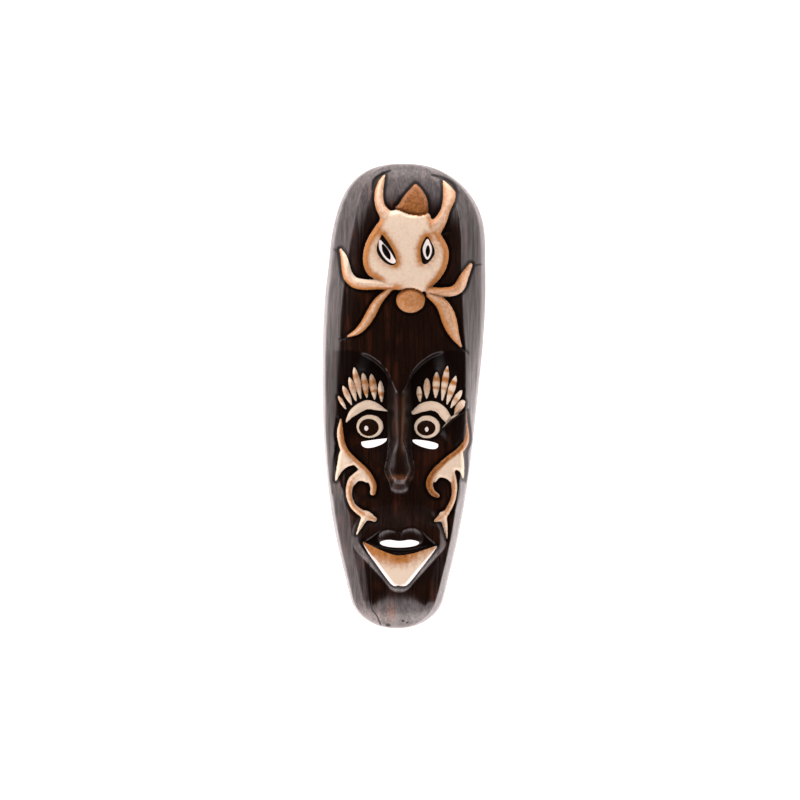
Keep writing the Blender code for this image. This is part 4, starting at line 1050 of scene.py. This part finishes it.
class WALLMASK_OT_carve(bpy.types.Operator):
    """Carve the mask, cut its openings and paint it"""

    bl_idname = "wall_mask.carve"
    bl_label = "Carve mask"

    def execute(self, context):
        sizes, colours = context.scene.wall_mask_sizes, context.scene.wall_mask_colours
        points, faces, middle = mask_skin(sizes)
        mask = mesh_object("carved_mask", points, faces)
        cut_through(mask, mesh_object("openings", *opening_prisms(sizes, middle)))
        mark_paint(sizes, mask.data, middle)
        fit_into_frame(mask.data)
        mask.data.materials.clear()
        mask.data.materials.append(painted_stained_wood(colours))
        mask.data.materials.append(gouged_back_wood(colours))
        mask.data.shade_smooth()
        mask.data.set_sharp_from_angle(angle=math.radians(SHARP_ANGLE))
        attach(mask, "root")
        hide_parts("mask")
        return {"FINISHED"}


def sky(world):
    """Room light: bright near the horizon, most of all past the crown and the chin, and dim overhead.

    So the flat face that looks straight up stays dark and the turned sides and ends catch a soft sheen.
    """
    world.use_nodes = True
    tree = world.node_tree
    add = partial(add_node, tree)
    way = add("SeparateXYZ", (add("TexCoord", output="Generated"),)).node.outputs
    low = add("MapRange", (way["Z"], 0.45, 0.75, 2.3, 0.04), **SMOOTH)
    along = add("Math", (way["Y"],), operation="ABSOLUTE")
    along = add("Math", (way["X"], -0.15, along), operation="MULTIPLY_ADD")
    ends = add("MapRange", (along, 0.15, 0.65, 0.08, 1.35), **SMOOTH)
    background = tree.nodes["Background"]
    background.inputs["Color"].default_value = (*linear("#fff2f6"), 1)
    link_up(tree, background, {"Strength": add("Math", (low, ends), operation="MULTIPLY")})


def lit_floor():
    """Wide white table under the mask, lit through like a photographer's light table, most past its ends."""
    material, tree, shader = new_material("white_light_table", roughness=0.9,
                                          base_color=(*linear("#b0b0b0"), 1),
                                          emission_color=(*linear("#fff3f2"), 1))
    add = partial(add_node, tree)
    along = add("SeparateXYZ", (add("TexCoord", output="Object"),), "Y")
    along = add("Math", (along,), operation="ABSOLUTE")
    link_up(tree, shader, {"Emission Strength": add("MapRange", (along, 0.25, 0.33, 1.25, 4.2), **SMOOTH)})
    corners = [(x * FLOOR_HALF, y * FLOOR_HALF, -FLOOR_DROP) for x, y in ((-1, -1), (1, -1), (1, 1), (-1, 1))]
    floor = mesh_object("floor", corners, [(0, 1, 2, 3)])
    floor.data.materials.append(material)
    return floor


class WALLMASK_OT_stage(bpy.types.Operator):
    """Set the white table, the soft room light, two soft lamps and the camera straight above"""

    bl_idname = "wall_mask.stage"
    bl_label = "Set stage"

    def execute(self, context):
        scene = context.scene
        lit_floor()
        scene.world = scene.world or bpy.data.worlds.new("room")
        sky(scene.world)
        for name, place, power in LAMPS:
            light = bpy.data.lights.new(name, "AREA")
            light.shape = "RECTANGLE"
            light.size, light.size_y = LAMP_SIZE
            light.energy = power
            lamp = bpy.data.objects.new(name, light)
            lamp.location = place
            lamp.rotation_euler = (-Vector(place)).to_track_quat("-Z", "Y").to_euler()
            lamp.visible_glossy = False
            scene.collection.objects.link(lamp)
        camera = bpy.data.objects.new("camera", bpy.data.cameras.new("camera"))
        camera.data.sensor_width = 36
        camera.data.lens = 36 * CAMERA_HEIGHT / VIEW_WIDTH
        camera.location = (*VIEW_CENTRE, CAMERA_HEIGHT)
        camera.data.clip_end = 2 * CAMERA_HEIGHT
        scene.collection.objects.link(camera)
        scene.camera = camera
        scene.view_settings.view_transform = "Standard"
        return {"FINISHED"}


class WALLMASK_PT_panel(bpy.types.Panel):
    """Sizes, colours and steps of the wall mask"""

    bl_idname = "WALLMASK_PT_panel"
    bl_label = "Wall mask"
    bl_space_type = "VIEW_3D"
    bl_region_type = "UI"
    bl_category = "Wall Mask"

    def draw(self, context):
        for group in (context.scene.wall_mask_sizes, context.scene.wall_mask_colours):
            for name in group.__annotations__:
                self.layout.prop(group, name)
        self.layout.operator(WALLMASK_OT_carve.bl_idname)
        self.layout.operator(WALLMASK_OT_stage.bl_idname)


CLASSES = (WallMaskSizes, WallMaskColours, WALLMASK_OT_carve, WALLMASK_OT_stage, WALLMASK_PT_panel)


def register():
    """Adds the classes and the two property groups."""
    for cls in CLASSES:
        bpy.utils.register_class(cls)
    bpy.types.Scene.wall_mask_sizes = bpy.props.PointerProperty(type=WallMaskSizes)
    bpy.types.Scene.wall_mask_colours = bpy.props.PointerProperty(type=WallMaskColours)


def unregister():
    """Takes them away again."""
    del bpy.types.Scene.wall_mask_colours
    del bpy.types.Scene.wall_mask_sizes
    for cls in reversed(CLASSES):
        bpy.utils.unregister_class(cls)


def main():
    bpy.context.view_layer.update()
    register()
    bpy.ops.wall_mask.carve()
    bpy.ops.wall_mask.stage()


if __name__ == "__main__":
    main()
